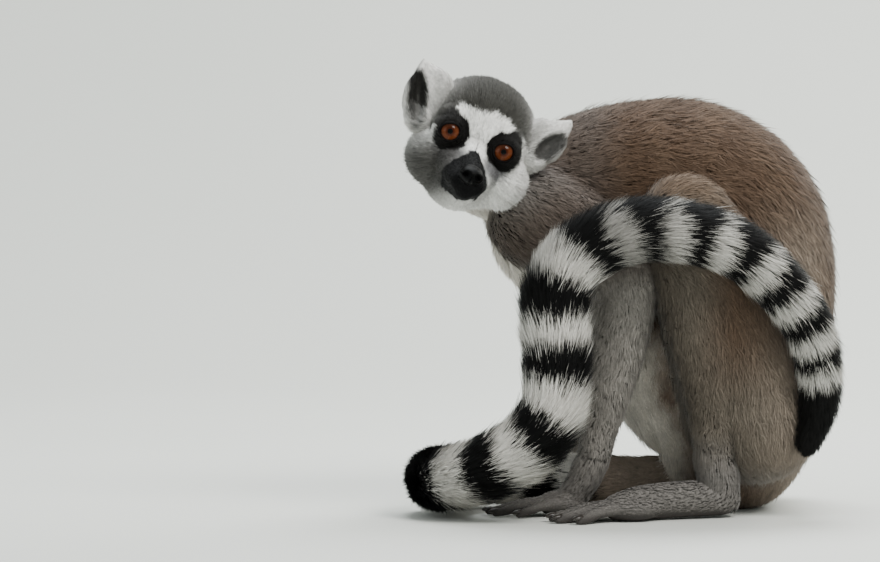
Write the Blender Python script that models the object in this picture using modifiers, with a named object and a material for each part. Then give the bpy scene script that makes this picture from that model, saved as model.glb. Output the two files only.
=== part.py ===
"""Ring-tailed lemur, life size: it sits hunched on the floor, faces -X and turns its head towards -Y.

Run with: blender --background --python part.py
Every length below is in millimetres. +Z is up, and the origin is on the floor under the rump.
The animal's left side is its -Y side. Each form includes the depth of the coat over it.
"""

import math

import bmesh
import bpy
import numpy as np
from mathutils import Matrix, Vector
from mathutils.bvhtree import BVHTree

MM = 0.001
GAP = 0.35  # between two neighbours that touch
FLOOR_BLOCK = 600.0  # side of the block that trims what would reach below the floor

# ---- the head's own frame: origin midway between the eyes, nose along "forward", crown along "up"
HEAD_ORIGIN = Vector((-152.5, -68.0, 210.8))
HEAD_YAW = math.radians(6.0)  # the nose turns this far from -Y towards +X
HEAD_ROLL = math.radians(21.3)  # the crown leans this far towards +X
EYE_SPREAD = 16.0  # from the middle of the face to an eye's axis
EYE_RADIUS = 8.4
EYE_DEPTH = 2.4  # the eyeball's centre, ahead of the head's origin
# the ears are not held quite alike: shift to the side and up, half height, half width, draw-in of the base, lean
EARS = {"left": (1.0, -4.0, 13.5, 10.3, 0.2, 20.0), "right": (4.0, -2.0, 18.0, 12.5, 0.0, 16.0)}
# the hollow in each ear's front: place to the side and up, half width, half height, lean
EAR_HOLLOWS = {"left": (39.2, 12.5, 5.4, 12.0, 34.0), "right": (37.6, 11.5, 6.6, 15.8, 18.0)}

# ---- trunk: places along its middle and the radius there, from the neck's base to the seat
TRUNK = [
    ((-114, 0, 180), 36),
    ((-90, 0, 184), 43),
    ((-62, 0, 183), 51),
    ((-34, 0, 177), 58),
    ((-12, 0, 161), 59),
    ((-2, 0, 137), 56),
    ((0, 0, 112), 53),
    ((-1, 0, 86), 51.5),
    ((-4, 0, 60), 49),
    ((-5, 0, 41), 44.5),
]
BREAST = ((-103, 0, 158), (42, 41, 40))  # centre and radii
BELLY = ((-40, 0, 92), (46, 47, 54))
CHEST_CUT = (Vector((-66, 0, 160)), Vector((0.92, 0, -0.38)))  # a plane's point and normal
RUMP_CUT = (Vector((0, 0, 92)), Vector((0.1, 0, -1.0)))

NECK = [((-104, 0, 182), 35), ((-130, -8, 190), 31), ((-150, -22, 196), 28), ((-155, -31, 199), 25)]

# ---- limbs of the animal's left side: places and radii, and how the right side differs
SIDES = {"left": -1.0, "right": 1.0}  # along Y, for the body
HEAD_SIDES = {"left": 1.0, "right": -1.0}  # along the head's own side axis
THIGH = [((4, 36, 58), 42), ((-10, 47, 102), 38.5), ((-24, 56, 140), 34), ((-35, 60, 165), 29)]
SHANK = [((-40, 62, 160), 22), ((-31, 65, 136), 23.5), ((-24, 66, 106), 22.5), ((-20, 63, 72), 17.5), ((-19, 60, 38), 12)]
HEEL = [((-20, 60, 40), 12), ((-17, 59, 23), 12), ((-14, 58, 10.5), 10.5)]
SOLE = [((-14, 58, 10), 10), ((-36, 66, 10.5), 11), ((-60, 75, 9.5), 10.5), ((-74, 80, 7.5), 8.5)]
ANKLE_CUT = (Vector((0, 0, 35)), Vector((0, 0, -1)))
FOOT_PAD = ((-66, 77, 6.5), (17, 15, 8))
UPPER_ARM = [((-117, 30, 168), 32), ((-100, 40, 159), 29), ((-82, 50, 149), 25), ((-68, 57, 138), 20.5)]
FOREARM = [((-68, 57, 138), 20.5), ((-71, 57, 112), 19.5), ((-77, 55, 80), 16.5), ((-83, 51, 50), 11.5), ((-86, 50, 34), 10)]
WRIST = [((-86, 50, 34), 10), ((-92, 49, 20), 9.5), ((-98, 48, 11), 9)]
ELBOW_CUT = (Vector((-68, 0, 138)), Vector((0.44, 0, -0.9)))
WRIST_CUT = (Vector((0, 0, 29)), Vector((0, 0, -1)))
PALM = ((-104, 47, 6.5), (15, 12.5, 8))
# A digit: where it starts, its heading in degrees from straight ahead (outwards is positive),
# its length and its radius at the root.
TOES = [((-78, 88), 34, 21, 4.4), ((-83, 83), 24, 26, 4.4), ((-84, 77), 16, 27, 4.4), ((-80, 70), 6, 24, 4.2)]
BIG_TOE = ((-52, 66), -32, 27, 5.6)
FINGERS = [((-110, 57), 22, 20, 3.8), ((-116, 52), 10, 26, 3.8), ((-118, 46), 0, 27, 3.8), ((-114, 40), -12, 22, 3.6)]
THUMB = ((-98, 37), -42, 17, 4.0)
RIGHT_HAND_SHIFT = Vector((-9, -4, 0))  # the right hand is set a little further ahead
RIGHT_FOOT_SHIFT = Vector((5, 0, 0))

# ---- tail: along its middle from under the rump, out between the feet, round the left hand,
# then up over the left arm and knee to the flank
TAIL_PATH = [
    (-26, 6, 19),
    (-56, 5, 15),
    (-88, 3, 16),
    (-120, 1, 17.5),
    (-150, -8, 18.5),
    (-171, -30, 20),
    (-172, -60, 22),
    (-154, -82, 27.5),
    (-130, -94, 40),
    (-114, -99, 58),
    (-109, -99, 82),
    (-109, -97, 104),
    (-108, -99, 127),
    (-95, -101, 148),
    (-70, -104, 161),
    (-40, -104, 162),
    (-11, -100, 153),
    (13, -93, 134),
    (30, -85, 111),
    (38, -77, 86),
    (38, -71, 62),
    (33, -69, 43),
]
TAIL_RADII = [(0.0, 15), (0.1, 16), (0.25, 19.5), (0.4, 22.5), (0.6, 22.5), (0.7, 20.5), (0.8, 18.5), (0.9, 16.5), (0.95, 14), (1.0, 8)]
TAIL_PARTS = 9

# ---- how finely each form is made
FINE, MEDIUM, COARSE = 1.6, 2.4, 3.2  # voxel sizes

COLOURS = {
    "back": (0.26, 0.21, 0.18, 1),
    "limb": (0.36, 0.34, 0.33, 1),
    "head": (0.55, 0.53, 0.50, 1),
    "ear": (0.80, 0.79, 0.76, 1),
    "hand": (0.16, 0.15, 0.15, 1),
    "nose": (0.02, 0.02, 0.02, 1),
    "eye": (0.35, 0.12, 0.03, 1),
    "tail": (0.30, 0.30, 0.29, 1),
}


# ------------------------------------------------------------------ scene and small helpers
def clear_scene():
    for obj in list(bpy.data.objects):
        bpy.data.objects.remove(obj)


def new_collection(name):
    made = bpy.data.collections.new(name)
    bpy.context.scene.collection.children.link(made)
    return made


def material(name, roughness=0.8):
    made = bpy.data.materials.get(name) or bpy.data.materials.new(name)
    made.use_nodes = True
    shader = made.node_tree.nodes["Principled BSDF"]
    shader.inputs["Base Color"].default_value = COLOURS[name]
    shader.inputs["Roughness"].default_value = roughness
    shader.inputs["Metallic"].default_value = 0.0
    return made


def evaluated_mesh(obj):
    bpy.context.view_layer.update()
    graph = bpy.context.evaluated_depsgraph_get()
    return bpy.data.meshes.new_from_object(obj.evaluated_get(graph))


def settle(obj):
    """Turns the object's modifiers into its mesh."""
    mesh = evaluated_mesh(obj)
    obj.modifiers.clear()
    obj.data = mesh


def add_object(name, mesh):
    obj = bpy.data.objects.new(name, mesh)
    parts.objects.link(obj)
    return obj


def head_axes():
    """The head's left, forward and up directions, as the columns of a matrix."""
    forward = Vector((math.sin(HEAD_YAW), -math.cos(HEAD_YAW), 0))
    up = Vector((math.sin(HEAD_ROLL), 0, math.cos(HEAD_ROLL)))
    up = (up - forward * up.dot(forward)).normalized()
    return Matrix((up.cross(forward), forward, up)).transposed()


HEAD_TURN = head_axes()


def head_point(side, forward, up):
    return HEAD_ORIGIN + HEAD_TURN @ Vector((side, forward, up))


# ------------------------------------------------------------------ the forms
def smooth_path(points, steps):
    """Points along a smooth curve (Catmull-Rom) through the given rows of numbers."""
    rows = np.array(points, float)
    rows = np.vstack([2 * rows[0] - rows[1], rows, 2 * rows[-1] - rows[-2]])
    t = np.linspace(0, 1, steps, endpoint=False)[:, None]
    found = []
    for a, b, c, d in zip(rows, rows[1:], rows[2:], rows[3:]):
        found.append(
            0.5 * (2 * b + (c - a) * t + (2 * a - 5 * b + 4 * c - d) * t**2 + (3 * b - a - 3 * c + d) * t**3)
        )
    return np.vstack([*found, rows[-2:-1]])


def rounded(rows):
    """Adds a half-round end before the first row and after the last one; a row is x, y, z, radius."""

    def end(row, inner):
        away = row[:3] - inner[:3]
        away /= np.linalg.norm(away)
        angles = np.radians([30, 55, 75, 86])
        return [np.append(row[:3] + away * row[3] * math.sin(a), row[3] * math.cos(a)) for a in angles]

    return np.array([*reversed(end(rows[0], rows[1])), *rows, *end(rows[-1], rows[-2])])


def tube_mesh(rows, sides=4, ends=True):
    """A round limb of changing radius: a curve with a bevel, whose rows are x, y, z, radius."""
    rows = rounded(rows) if ends else rows
    curve = bpy.data.curves.new("limb", "CURVE")
    curve.dimensions = "3D"
    curve.bevel_depth = MM
    curve.bevel_resolution = sides
    curve.use_fill_caps = True
    spline = curve.splines.new("POLY")
    spline.points.add(len(rows) - 1)
    for point, (x, y, z, radius) in zip(spline.points, rows):
        point.co = (x * MM, y * MM, z * MM, 1)
        point.radius = radius
    obj = bpy.data.objects.new("limb", curve)
    parts.objects.link(obj)
    mesh = evaluated_mesh(obj)
    bpy.data.objects.remove(obj)
    welded = bmesh.new()
    welded.from_mesh(mesh)
    bmesh.ops.remove_doubles(welded, verts=welded.verts, dist=0.02 * MM)
    bmesh.ops.recalc_face_normals(welded, faces=welded.faces)
    welded.to_mesh(mesh)
    welded.free()
    return mesh


def limb(stations, steps=4):
    """A tube through stations, each a place and a radius."""
    return tube_mesh(smooth_path([(*place, radius) for place, radius in stations], steps))


def ball(centre, radii, turn=None, segments=20):
    """An ellipsoid. radii run along X, Y and Z, or along the columns of turn."""
    made = bmesh.new()
    place = Matrix.Translation(Vector(centre) * MM) @ (turn or Matrix.Identity(3)).to_4x4()
    scale = Matrix.Diagonal((*[r * MM for r in radii], 1))
    bmesh.ops.create_uvsphere(made, u_segments=segments, v_segments=segments // 2 + 2, radius=1, matrix=place @ scale)
    bmesh.ops.recalc_face_normals(made, faces=made.faces)
    mesh = bpy.data.meshes.new("ball")
    made.to_mesh(mesh)
    made.free()
    return mesh


def head_ball(centre, radii, lean=0.0):
    """An ellipsoid in the head's frame: side, forward, up. lean turns it about forward, in degrees."""
    turn = HEAD_TURN @ Matrix.Rotation(math.radians(lean), 3, "Y")
    return ball(head_point(*centre), radii, turn)


def head_limb(stations, steps=4):
    return limb([(head_point(*place), radius) for place, radius in stations], steps)


def fused(name, meshes, voxel, triangles, smoothing=6):
    """One closed form from several that overlap: they are remeshed as one, smoothed and thinned."""
    joined = bmesh.new()
    for mesh in meshes:
        joined.from_mesh(mesh)
        bpy.data.meshes.remove(mesh)
    whole = bpy.data.meshes.new(name)
    joined.to_mesh(whole)
    joined.free()
    obj = add_object(name, whole)
    remesh = obj.modifiers.new("Fuse", "REMESH")
    remesh.mode = "VOXEL"
    remesh.voxel_size = voxel * MM
    smooth = obj.modifiers.new("Soften", "SMOOTH")
    smooth.factor = 0.5
    smooth.iterations = smoothing
    settle(obj)
    return thinned(obj, triangles)


def thinned(obj, triangles):
    """The same form with about that many triangles."""
    obj.data.calc_loop_triangles()
    thin = obj.modifiers.new("Thin", "DECIMATE")
    thin.ratio = min(1.0, triangles / len(obj.data.loop_triangles))
    settle(obj)
    return obj


# ------------------------------------------------------------------ cuts
def grown_copy(obj, by):
    """A hidden copy whose faces all stand out by at least that much, in millimetres.

    Each vertex moves by the short vector that takes it that far out of all its faces. The vector is
    found by stepping out of one face after another until none is too near.
    """
    mesh = bmesh.new()
    mesh.from_mesh(obj.data)
    mesh.normal_update()
    moves = []
    for vert in mesh.verts:
        normals = [face.normal for face in vert.link_faces if face.normal.length > 0.5]
        move = Vector()
        for _ in range(24):
            short = 0.0
            for normal in normals:
                lack = by * MM - normal.dot(move)
                if lack > 0:
                    move += normal * lack
                    short = max(short, lack)
            if short < 0.01 * by * MM:
                break
        moves.append(move if move.length < 4 * by * MM else move.normalized() * 4 * by * MM)
    for vert, move in zip(mesh.verts, moves):
        vert.co += move
    grown = bpy.data.meshes.new(obj.name + "_cutter")
    mesh.to_mesh(grown)
    mesh.free()
    copy = bpy.data.objects.new(obj.name + "_cutter", grown)
    cutters.objects.link(copy)
    copy.hide_render = True
    copy.display_type = "WIRE"
    return copy


def largest_body(obj):
    """Drops the loose bits that a cut leaves."""
    mesh = bmesh.new()
    mesh.from_mesh(obj.data)
    bmesh.ops.triangulate(mesh, faces=mesh.faces)
    bmesh.ops.remove_doubles(mesh, verts=mesh.verts, dist=0.01 * MM)
    bmesh.ops.dissolve_degenerate(mesh, edges=mesh.edges, dist=0.01 * MM)
    bmesh.ops.triangulate(mesh, faces=mesh.faces)
    seen, bodies = set(), []
    for first in mesh.verts:
        if first in seen:
            continue
        body, edge = [], [first]
        seen.add(first)
        while edge:
            vert = edge.pop()
            body.append(vert)
            for link in vert.link_edges:
                other = link.other_vert(vert)
                if other not in seen:
                    seen.add(other)
                    edge.append(other)
        bodies.append(body)
    keep = max(bodies, key=len, default=None)
    bmesh.ops.delete(mesh, geom=[v for body in bodies if body is not keep for v in body], context="VERTS")
    mesh.to_mesh(obj.data)
    mesh.free()


def closed(mesh):
    """True when each edge has two faces that run it in opposite ways, and no two faces share all corners."""
    corners = np.zeros(len(mesh.loops), np.int32)
    mesh.loops.foreach_get("vertex_index", corners)
    faces = corners.reshape(-1, 3)
    ends = np.concatenate([faces[:, [0, 1]], faces[:, [1, 2]], faces[:, [2, 0]]]).astype(np.int64)
    size = len(mesh.vertices)
    forward = np.sort(ends[:, 0] * size + ends[:, 1])
    backward = np.sort(ends[:, 1] * size + ends[:, 0])
    single = len(np.unique(forward)) == len(forward)
    whole = len(np.unique(np.sort(faces, axis=1), axis=0)) == len(faces)
    return bool(len(faces) and single and whole and (forward == backward).all())


def touches(a, b, margin):
    """True when the two boxes come within that many millimetres of each other."""
    corners = [np.array(obj.bound_box) for obj in (a, b)]
    low = np.maximum(corners[0].min(0), corners[1].min(0))
    high = np.minimum(corners[0].max(0), corners[1].max(0))
    return bool((low - margin * MM < high).all())


def reaches_into(a, b):
    """True when a corner of a lies inside b: each ray from there meets b an odd number of times."""
    tree = BVHTree.FromPolygons([v.co for v in b.data.vertices], [p.vertices for p in b.data.polygons])
    headings = [Vector(h).normalized() for h in ((0.271, 0.613, 0.742), (-0.82, 0.317, 0.474), (0.153, -0.91, -0.38))]
    low, high = (Vector(pick(c) for c in zip(*(v.co for v in b.data.vertices))) for pick in (min, max))

    def odd(place, heading):
        crossings, start = 0, place.copy()
        while crossings < 40:
            hit = tree.ray_cast(start, heading)[0]
            if hit is None:
                break
            crossings += 1
            start = hit + heading * 1e-7
        return crossings % 2 == 1

    for vert in a.data.vertices:
        if all(l < c < h for l, c, h in zip(low, vert.co, high)) and all(odd(vert.co, h) for h in headings):
            return True
    return False


def cut_away(obj, others, gap=GAP):
    """Takes from obj the space that its neighbours fill, and the gap round them.

    A cut that doesn't come out closed and clear is made again, allowing for crossed faces and with a
    slightly wider gap.
    """
    for other in others:
        if not touches(obj, other, gap):
            continue
        before = obj.data
        for wider, crossed in ((0, False), (0, True), (0.07, False), (0.15, True), (0.23, True)):
            cutter = grown_copy(other, gap + wider)
            obj.data = before.copy()
            carve = obj.modifiers.new("Carve", "BOOLEAN")
            carve.operation = "DIFFERENCE"
            carve.use_self = crossed
            carve.object = cutter
            settle(obj)
            bpy.data.objects.remove(cutter)
            largest_body(obj)
            if closed(obj.data) and not reaches_into(obj, other) and not reaches_into(other, obj):
                break


def rest_on_floor(obj):
    """Trims what would reach below the floor, which leaves a small flat there."""
    half = FLOOR_BLOCK / 2
    made = bmesh.new()
    bmesh.ops.create_cube(made, size=FLOOR_BLOCK * MM, matrix=Matrix.Translation((0, 0, -half * MM)))
    mesh = bpy.data.meshes.new("floor")
    made.to_mesh(mesh)
    made.free()
    block = bpy.data.objects.new("floor_cutter", mesh)
    cutters.objects.link(block)
    trim = obj.modifiers.new("Trim", "BOOLEAN")
    trim.operation = "DIFFERENCE"
    trim.object = block
    settle(obj)
    bpy.data.objects.remove(block)
    largest_body(obj)


def kept_side(obj, point, normal):
    """Cuts away what lies behind a plane and closes the cut with a flat."""
    mesh = bmesh.new()
    mesh.from_mesh(obj.data)
    bmesh.ops.bisect_plane(
        mesh,
        geom=[*mesh.verts, *mesh.edges, *mesh.faces],
        plane_co=point * MM,
        plane_no=normal,
        clear_inner=True,
    )
    bmesh.ops.remove_doubles(mesh, verts=mesh.verts, dist=0.01 * MM)
    bmesh.ops.holes_fill(mesh, edges=[e for e in mesh.edges if e.is_boundary])
    bmesh.ops.triangulate(mesh, faces=mesh.faces)
    bmesh.ops.recalc_face_normals(mesh, faces=mesh.faces)
    mesh.to_mesh(obj.data)
    mesh.free()


def parted(obj, name, plane):
    """Cuts obj in two across a plane and gives the half that the normal points to a new object."""
    point, normal = plane
    normal = normal.normalized()
    other = add_object(name, obj.data.copy())
    kept_side(other, point + normal * GAP / 2, normal)
    kept_side(obj, point - normal * GAP / 2, -normal)
    return other


def finish(obj, colour, roughness=0.8):
    obj.data.materials.clear()
    obj.data.materials.append(material(colour, roughness))
    obj.data.shade_smooth()
    return obj


# ------------------------------------------------------------------ trunk and neck
def make_trunk():
    forms = [limb(TRUNK), ball(*BREAST), ball(*BELLY)]
    chest = fused("trunk_chest", forms, COARSE, 800)
    rest_on_floor(chest)
    belly = parted(chest, "trunk_back", CHEST_CUT)
    rump = parted(belly, "trunk_rump", RUMP_CUT)
    return [chest, belly, rump]


def make_neck():
    return fused("neck", [limb(NECK)], MEDIUM, 120)


# ------------------------------------------------------------------ limbs
def sided(stations, side, shift=None):
    """Stations, written for the left limb with Y outwards, set on that side of the body."""
    moved = []
    for (x, y, z), radius in stations:
        place = Vector((x, y * side, z))
        if shift:
            place += shift
        moved.append((place, radius))
    return moved


def digit(start, heading, length, radius, side, shift):
    """A toe or finger: it arches a little and its tip lies on the floor."""
    angle = math.radians(heading)
    along = Vector((-math.cos(angle), side * math.sin(angle), 0))
    root = Vector((start[0], start[1] * side, 0)) + (shift or Vector())
    profile = [(-0.35, 7.0, 1.05), (0.0, 7.0, 1.0), (0.4, 5.8, 0.88), (0.78, 3.2, 0.84), (1.0, 2.2, 0.78)]
    return limb([(root + along * length * t + Vector((0, 0, z)), radius * r) for t, z, r in profile], 2)


def make_lower_leg(side_name, side):
    """The shank and the foot."""
    shift = RIGHT_FOOT_SHIFT if side > 0 else None
    forms = [limb(sided(SHANK, side)), limb(sided(HEEL, side)), limb(sided(SOLE, side, shift))]
    (x, y, z), radii = FOOT_PAD
    forms.append(ball(Vector((x, y * side, z)) + (shift or Vector()), radii))
    forms += [digit(*toe, side, shift) for toe in [*TOES, BIG_TOE]]
    shank = fused("shank_" + side_name, forms, FINE, 540, smoothing=3)
    rest_on_floor(shank)
    return [shank, parted(shank, "foot_" + side_name, ANKLE_CUT)]


def make_arm(side_name, side):
    """The upper arm, the forearm and the hand."""
    shift = RIGHT_HAND_SHIFT if side > 0 else None
    forearm = bent_towards(FOREARM, shift) if shift else FOREARM
    forms = [limb(sided(UPPER_ARM, side)), limb(sided(forearm, side)), limb(sided(WRIST, side, shift))]
    (x, y, z), radii = PALM
    forms.append(ball(Vector((x, y * side, z)) + (shift or Vector()), radii))
    forms += [digit(*finger, side, shift) for finger in [*FINGERS, THUMB]]
    upper = fused("upper_arm_" + side_name, forms, FINE, 660, smoothing=3)
    rest_on_floor(upper)
    forearm = parted(upper, "forearm_" + side_name, ELBOW_CUT)
    return [upper, forearm, parted(forearm, "hand_" + side_name, WRIST_CUT)]


def make_thigh(side_name, side):
    thigh = fused("thigh_" + side_name, [limb(sided(THIGH, side))], MEDIUM, 210)
    rest_on_floor(thigh)
    return thigh


def bent_towards(stations, shift):
    """Forearm stations that move with the hand: the last moves the whole shift, the first not at all."""
    last = len(stations) - 1
    moved = Vector((shift.x, shift.y, shift.z))
    return [(tuple(Vector(place) + moved * (i / last)), radius) for i, (place, radius) in enumerate(stations)]


# ------------------------------------------------------------------ head
def make_eye(side_name, side):
    forms = [
        head_ball((side * EYE_SPREAD, EYE_DEPTH, 0), (EYE_RADIUS,) * 3),
        head_ball((side * (EYE_SPREAD + 1.0), EYE_DEPTH + 2.6, 0), (6.6,) * 3),
    ]
    return fused("eye_" + side_name, forms, 1.2, 96, smoothing=2)


def make_nose():
    return fused(
        "nose",
        [head_ball((0, 39, -19.0), (7.6, 6.6, 6.0)), head_ball((0, 35, -17.2), (6.6, 8.0, 5.4))],
        1.2,
        110,
        smoothing=2,
    )


def make_head():
    forms = [
        head_ball((1, -20, 6.5), (33, 31, 31)),  # braincase with its coat
        head_ball((0, -12, 12), (24, 20, 19)),  # brow and forehead
        head_limb([((0, -8, -10), 20), ((0, 8, -13), 12.6), ((0, 22, -19), 11.0), ((0, 34, -21.5), 9.2)]),
        head_limb([((0, -18, -22), 18), ((0, 4, -24), 13.5), ((0, 21, -25.5), 9.4), ((0, 30, -26.5), 6.6)]),
    ]
    for side in HEAD_SIDES.values():
        forms += [
            head_ball((side * 19 + 0.8, -14, -13), (19.5, 24, 20.5)),  # cheek ruff
            head_ball((side * 15, -1, 8.5), (11, 8, 7)),  # ridge above the eye
            head_ball((side * 17, -3, -8), (11, 8.5, 8)),  # below the eye
        ]
    return fused("head", forms, FINE, 860, smoothing=5)


def make_ear(side_name, side):
    """An upright leaf with a pointed tip, hollowed on its front."""
    aside, above, tall, wide, tuck, lean = EARS[side_name]
    droop = 18 - tall

    def spot(out, forward, up):
        return (side * (out + tuck * (up - 31)) + aside, forward, up + above)

    forms = [
        head_ball((side * 38 + aside, -13, 31 - tall + above), (wide, 8, tall), lean=side * lean),
        head_limb([(spot(37, -13, 4 + droop), 9), (spot(42, -13, 20), 7.5), (spot(44.5, -13.5, 28), 4.4), (spot(45.5, -14, 32.5), 2.6)]),
        head_limb([(spot(45, -14, 31), 2.8), (spot(38.5, -13, 29 - 0.5 * droop), 4.6), (spot(31, -12, 24.5 - 0.5 * droop), 6), (spot(28, -12, 8), 7)]),
    ]
    ear = fused("ear_" + side_name, forms, 1.4, 180, smoothing=3)
    out, height, half_wide, half_tall, slant = EAR_HOLLOWS[side_name]
    hollow = fused(
        "hollow",
        [head_ball((side * out, -3.5, height), (half_wide, 9, half_tall), lean=side * slant)],
        1.4,
        90,
        smoothing=1,
    )
    cut_away(ear, [hollow], gap=0.0)
    bpy.data.objects.remove(hollow)
    return ear


# ------------------------------------------------------------------ tail
def tail_rows():
    """The tail's path at even steps, with its radius there."""
    path = smooth_path(TAIL_PATH, 12)
    along = np.append(0, np.cumsum(np.linalg.norm(np.diff(path, axis=0), axis=1)))
    share = np.linspace(0, 1, TAIL_PARTS * 5 + 1)
    places = np.array([np.interp(share * along[-1], along, path[:, i]) for i in range(3)]).T
    at, radii = zip(*TAIL_RADII)
    return np.column_stack([places, np.interp(share, at, radii)])


def make_tail():
    """The tail in pieces: two neighbours end at flats on either side of one plane."""
    rows = tail_rows()
    per_part = (len(rows) - 1) // TAIL_PARTS
    made = []
    for i in range(TAIL_PARTS):
        first, last = i * per_part, (i + 1) * per_part
        piece = rows[max(first - 1, 0) : last + 2]
        if i == TAIL_PARTS - 1:
            piece = rounded(piece)[4:]
        part = add_object(f"tail_{i + 1}", tube_mesh(piece, sides=3, ends=False))
        for row, inward in ((first, 1), (last, -1)):
            if 0 < row < len(rows) - 1:
                along = Vector(rows[row + 1, :3] - rows[row - 1, :3]).normalized() * inward
                kept_side(part, Vector(rows[row, :3]) + along * GAP / 2, along)
        rest_on_floor(part)
        made.append(part)
    return made


# ------------------------------------------------------------------ the whole animal
def main():
    placed = []

    def place(pieces, colour, roughness=0.8):
        """Each piece gives way to all that are already in place."""
        for obj in pieces:
            cut_away(obj, placed)
        for obj in pieces:
            finish(obj, colour, roughness)
            placed.append(obj)

    place(make_trunk(), "back")
    for name, side in SIDES.items():
        place([make_thigh(name, side)], "limb")
        shank, foot = make_lower_leg(name, side)
        place([shank], "limb")
        place([foot], "hand")
        *arm, hand = make_arm(name, side)
        place(arm, "limb")
        place([hand], "hand")
    place([make_eye(name, side) for name, side in HEAD_SIDES.items()], "eye", 0.1)
    place([make_nose()], "nose", 0.35)
    place([make_head()], "head")
    place([make_neck()], "back")
    place([make_ear(name, side) for name, side in HEAD_SIDES.items()], "ear")
    place(make_tail(), "tail")


clear_scene()
parts = new_collection("ring_tailed_lemur")
cutters = new_collection("cutters")
cutters.hide_render = True
main()
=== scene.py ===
"""Ring-tailed lemur, life size: one skin over the frame's flesh, a coat of fine mesh hairs, eyes, nose and nails.

Lengths in the tables are millimetres; +Z is up and the animal faces -X with its head turned to -Y.
"""
import math

import bpy
import numpy as np
from mathutils import Matrix


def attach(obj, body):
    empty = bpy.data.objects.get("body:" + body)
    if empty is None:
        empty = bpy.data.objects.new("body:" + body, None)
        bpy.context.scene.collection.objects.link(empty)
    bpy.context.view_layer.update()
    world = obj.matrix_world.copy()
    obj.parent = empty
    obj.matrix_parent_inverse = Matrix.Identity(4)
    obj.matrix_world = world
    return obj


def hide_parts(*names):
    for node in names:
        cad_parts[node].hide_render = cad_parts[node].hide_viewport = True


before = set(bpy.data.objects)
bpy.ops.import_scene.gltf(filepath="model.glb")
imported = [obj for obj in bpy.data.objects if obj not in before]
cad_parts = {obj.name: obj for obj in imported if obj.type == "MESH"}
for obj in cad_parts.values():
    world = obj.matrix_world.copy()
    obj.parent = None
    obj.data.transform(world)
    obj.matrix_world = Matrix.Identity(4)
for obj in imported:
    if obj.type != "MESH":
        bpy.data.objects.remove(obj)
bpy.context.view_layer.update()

bl_info = {
    "name": "Ring-tailed lemur",
    "version": (1, 0, 0),
    "blender": (4, 5, 0),
    "location": "View3D > Sidebar > Lemur",
    "description": "Skin, coat, eyes, nose, nails and studio for a life-size ring-tailed lemur",
    "category": "Object",
}

MM = 0.001
FLOOR = 0.4  # the skin and the hair stay this far above the floor
SKIN_TRIANGLES = 190000  # what is left of the skin's mesh once its flat stretches are thinned

# ---- the head's own frame: origin midway between the eyes
HEAD_ORIGIN = np.array([-152.5, -68.0, 210.8])
HEAD_YAW = math.radians(6.0)
HEAD_ROLL = math.radians(21.3)
EYE_SPREAD, EYE_DEPTH, EYE_RADIUS = 16.0, 2.4, 8.4
GAZE_WAY = (0.02, -1.0, 0.05)  # the way both eyes look
# an eye's opening in the skin: degrees off the gaze, reach from the eye's centre, and the radius its skin sinks to
EYE_OPENING, OPENING_REACH, SOCKET_RADIUS = 43, 14, 6.6
HAIRLESS_ANGLE, HAIRLESS_REACH = 45, 13  # the same for the lids' bare place
# the ears are not held quite alike: shift to the side and up, half height, half width, draw-in of the base, lean
EARS = {"left": (1.0, -4.0, 13.5, 10.3, 0.2, 20.0), "right": (4.0, -2.0, 18.0, 12.5, 0.0, 16.0)}
# the hollow in each ear's front: place to the side and up, half width, half height, lean
EAR_HOLLOWS = {"left": (39.4, 12.0, 6.6, 12.6, 34.0), "right": (37.4, 10.8, 6.4, 17.0, 18.0)}
NOSE_CENTRE, NOSE_BARE = (0.0, 39.0, -19.0), (7.2, 7.5, 5.8)  # no hair grows within this ellipsoid

# ---- body forms: place, radius out to the coat's tips, depth of the coat there
TRUNK = [
    ((-114, 0, 180), 36, 9),
    ((-90, 0, 184), 43, 10),
    ((-62, 0, 183), 51, 11),
    ((-34, 0, 177), 58, 12),
    ((-12, 0, 161), 59, 12),
    ((-2, 0, 137), 56, 12),
    ((0, 0, 112), 53, 12),
    ((-1, 0, 86), 51.5, 11),
    ((-4, 0, 60), 49, 9),
    ((-5, 0, 41), 44.5, 7),
]
BREAST = ((-103, 0, 158), (42, 41, 40), 9)  # two balls: place, three radii and depth
BELLY = ((-40, 0, 92), (46, 47, 54), 9)
# the front of the body runs on evenly from the breast to the belly
FRONT = [((-100, 0, 152), 39, 9), ((-74, 0, 126), 41, 9), ((-48, 0, 98), 43, 9), ((-30, 0, 68), 42, 9)]
NECK = [((-104, 0, 182), 35, 9), ((-130, -8, 190), 31, 8), ((-150, -22, 196), 28, 6), ((-155, -31, 199), 25, 5)]
THIGH = [((4, 36, 58), 42, 10), ((-10, 47, 102), 38.5, 10), ((-24, 56, 140), 34, 9), ((-35, 60, 165), 29, 8)]
SHANK = [
    ((-40, 62, 160), 22, 8),
    ((-31, 65, 136), 23.5, 8),
    ((-24, 66, 106), 22.5, 8),
    ((-20, 63, 72), 17.5, 6.5),
    ((-19, 60, 38), 12, 4),
]
HEEL = [((-20, 60, 40), 12, 4), ((-17, 59, 23), 12, 3), ((-14, 58, 10.5), 10.5, 1.5)]
SOLE = [((-14, 58, 10), 10, 1.2), ((-36, 66, 10.5), 11, 1.4), ((-60, 75, 9.5), 10.5, 1.4), ((-74, 80, 7.5), 8.5, 1)]
FOOT_PAD = ((-66, 77, 6.5), (17, 15, 8), 1)
UPPER_ARM = [((-117, 30, 168), 32, 9), ((-100, 40, 159), 29, 9), ((-82, 50, 149), 25, 8), ((-68, 57, 138), 20.5, 7)]
FOREARM = [
    ((-68, 57, 138), 20.5, 7),
    ((-71, 57, 112), 19.5, 7),
    ((-77, 55, 80), 16.5, 6),
    ((-83, 51, 50), 11.5, 4),
    ((-86, 50, 34), 10, 3),
]
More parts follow.
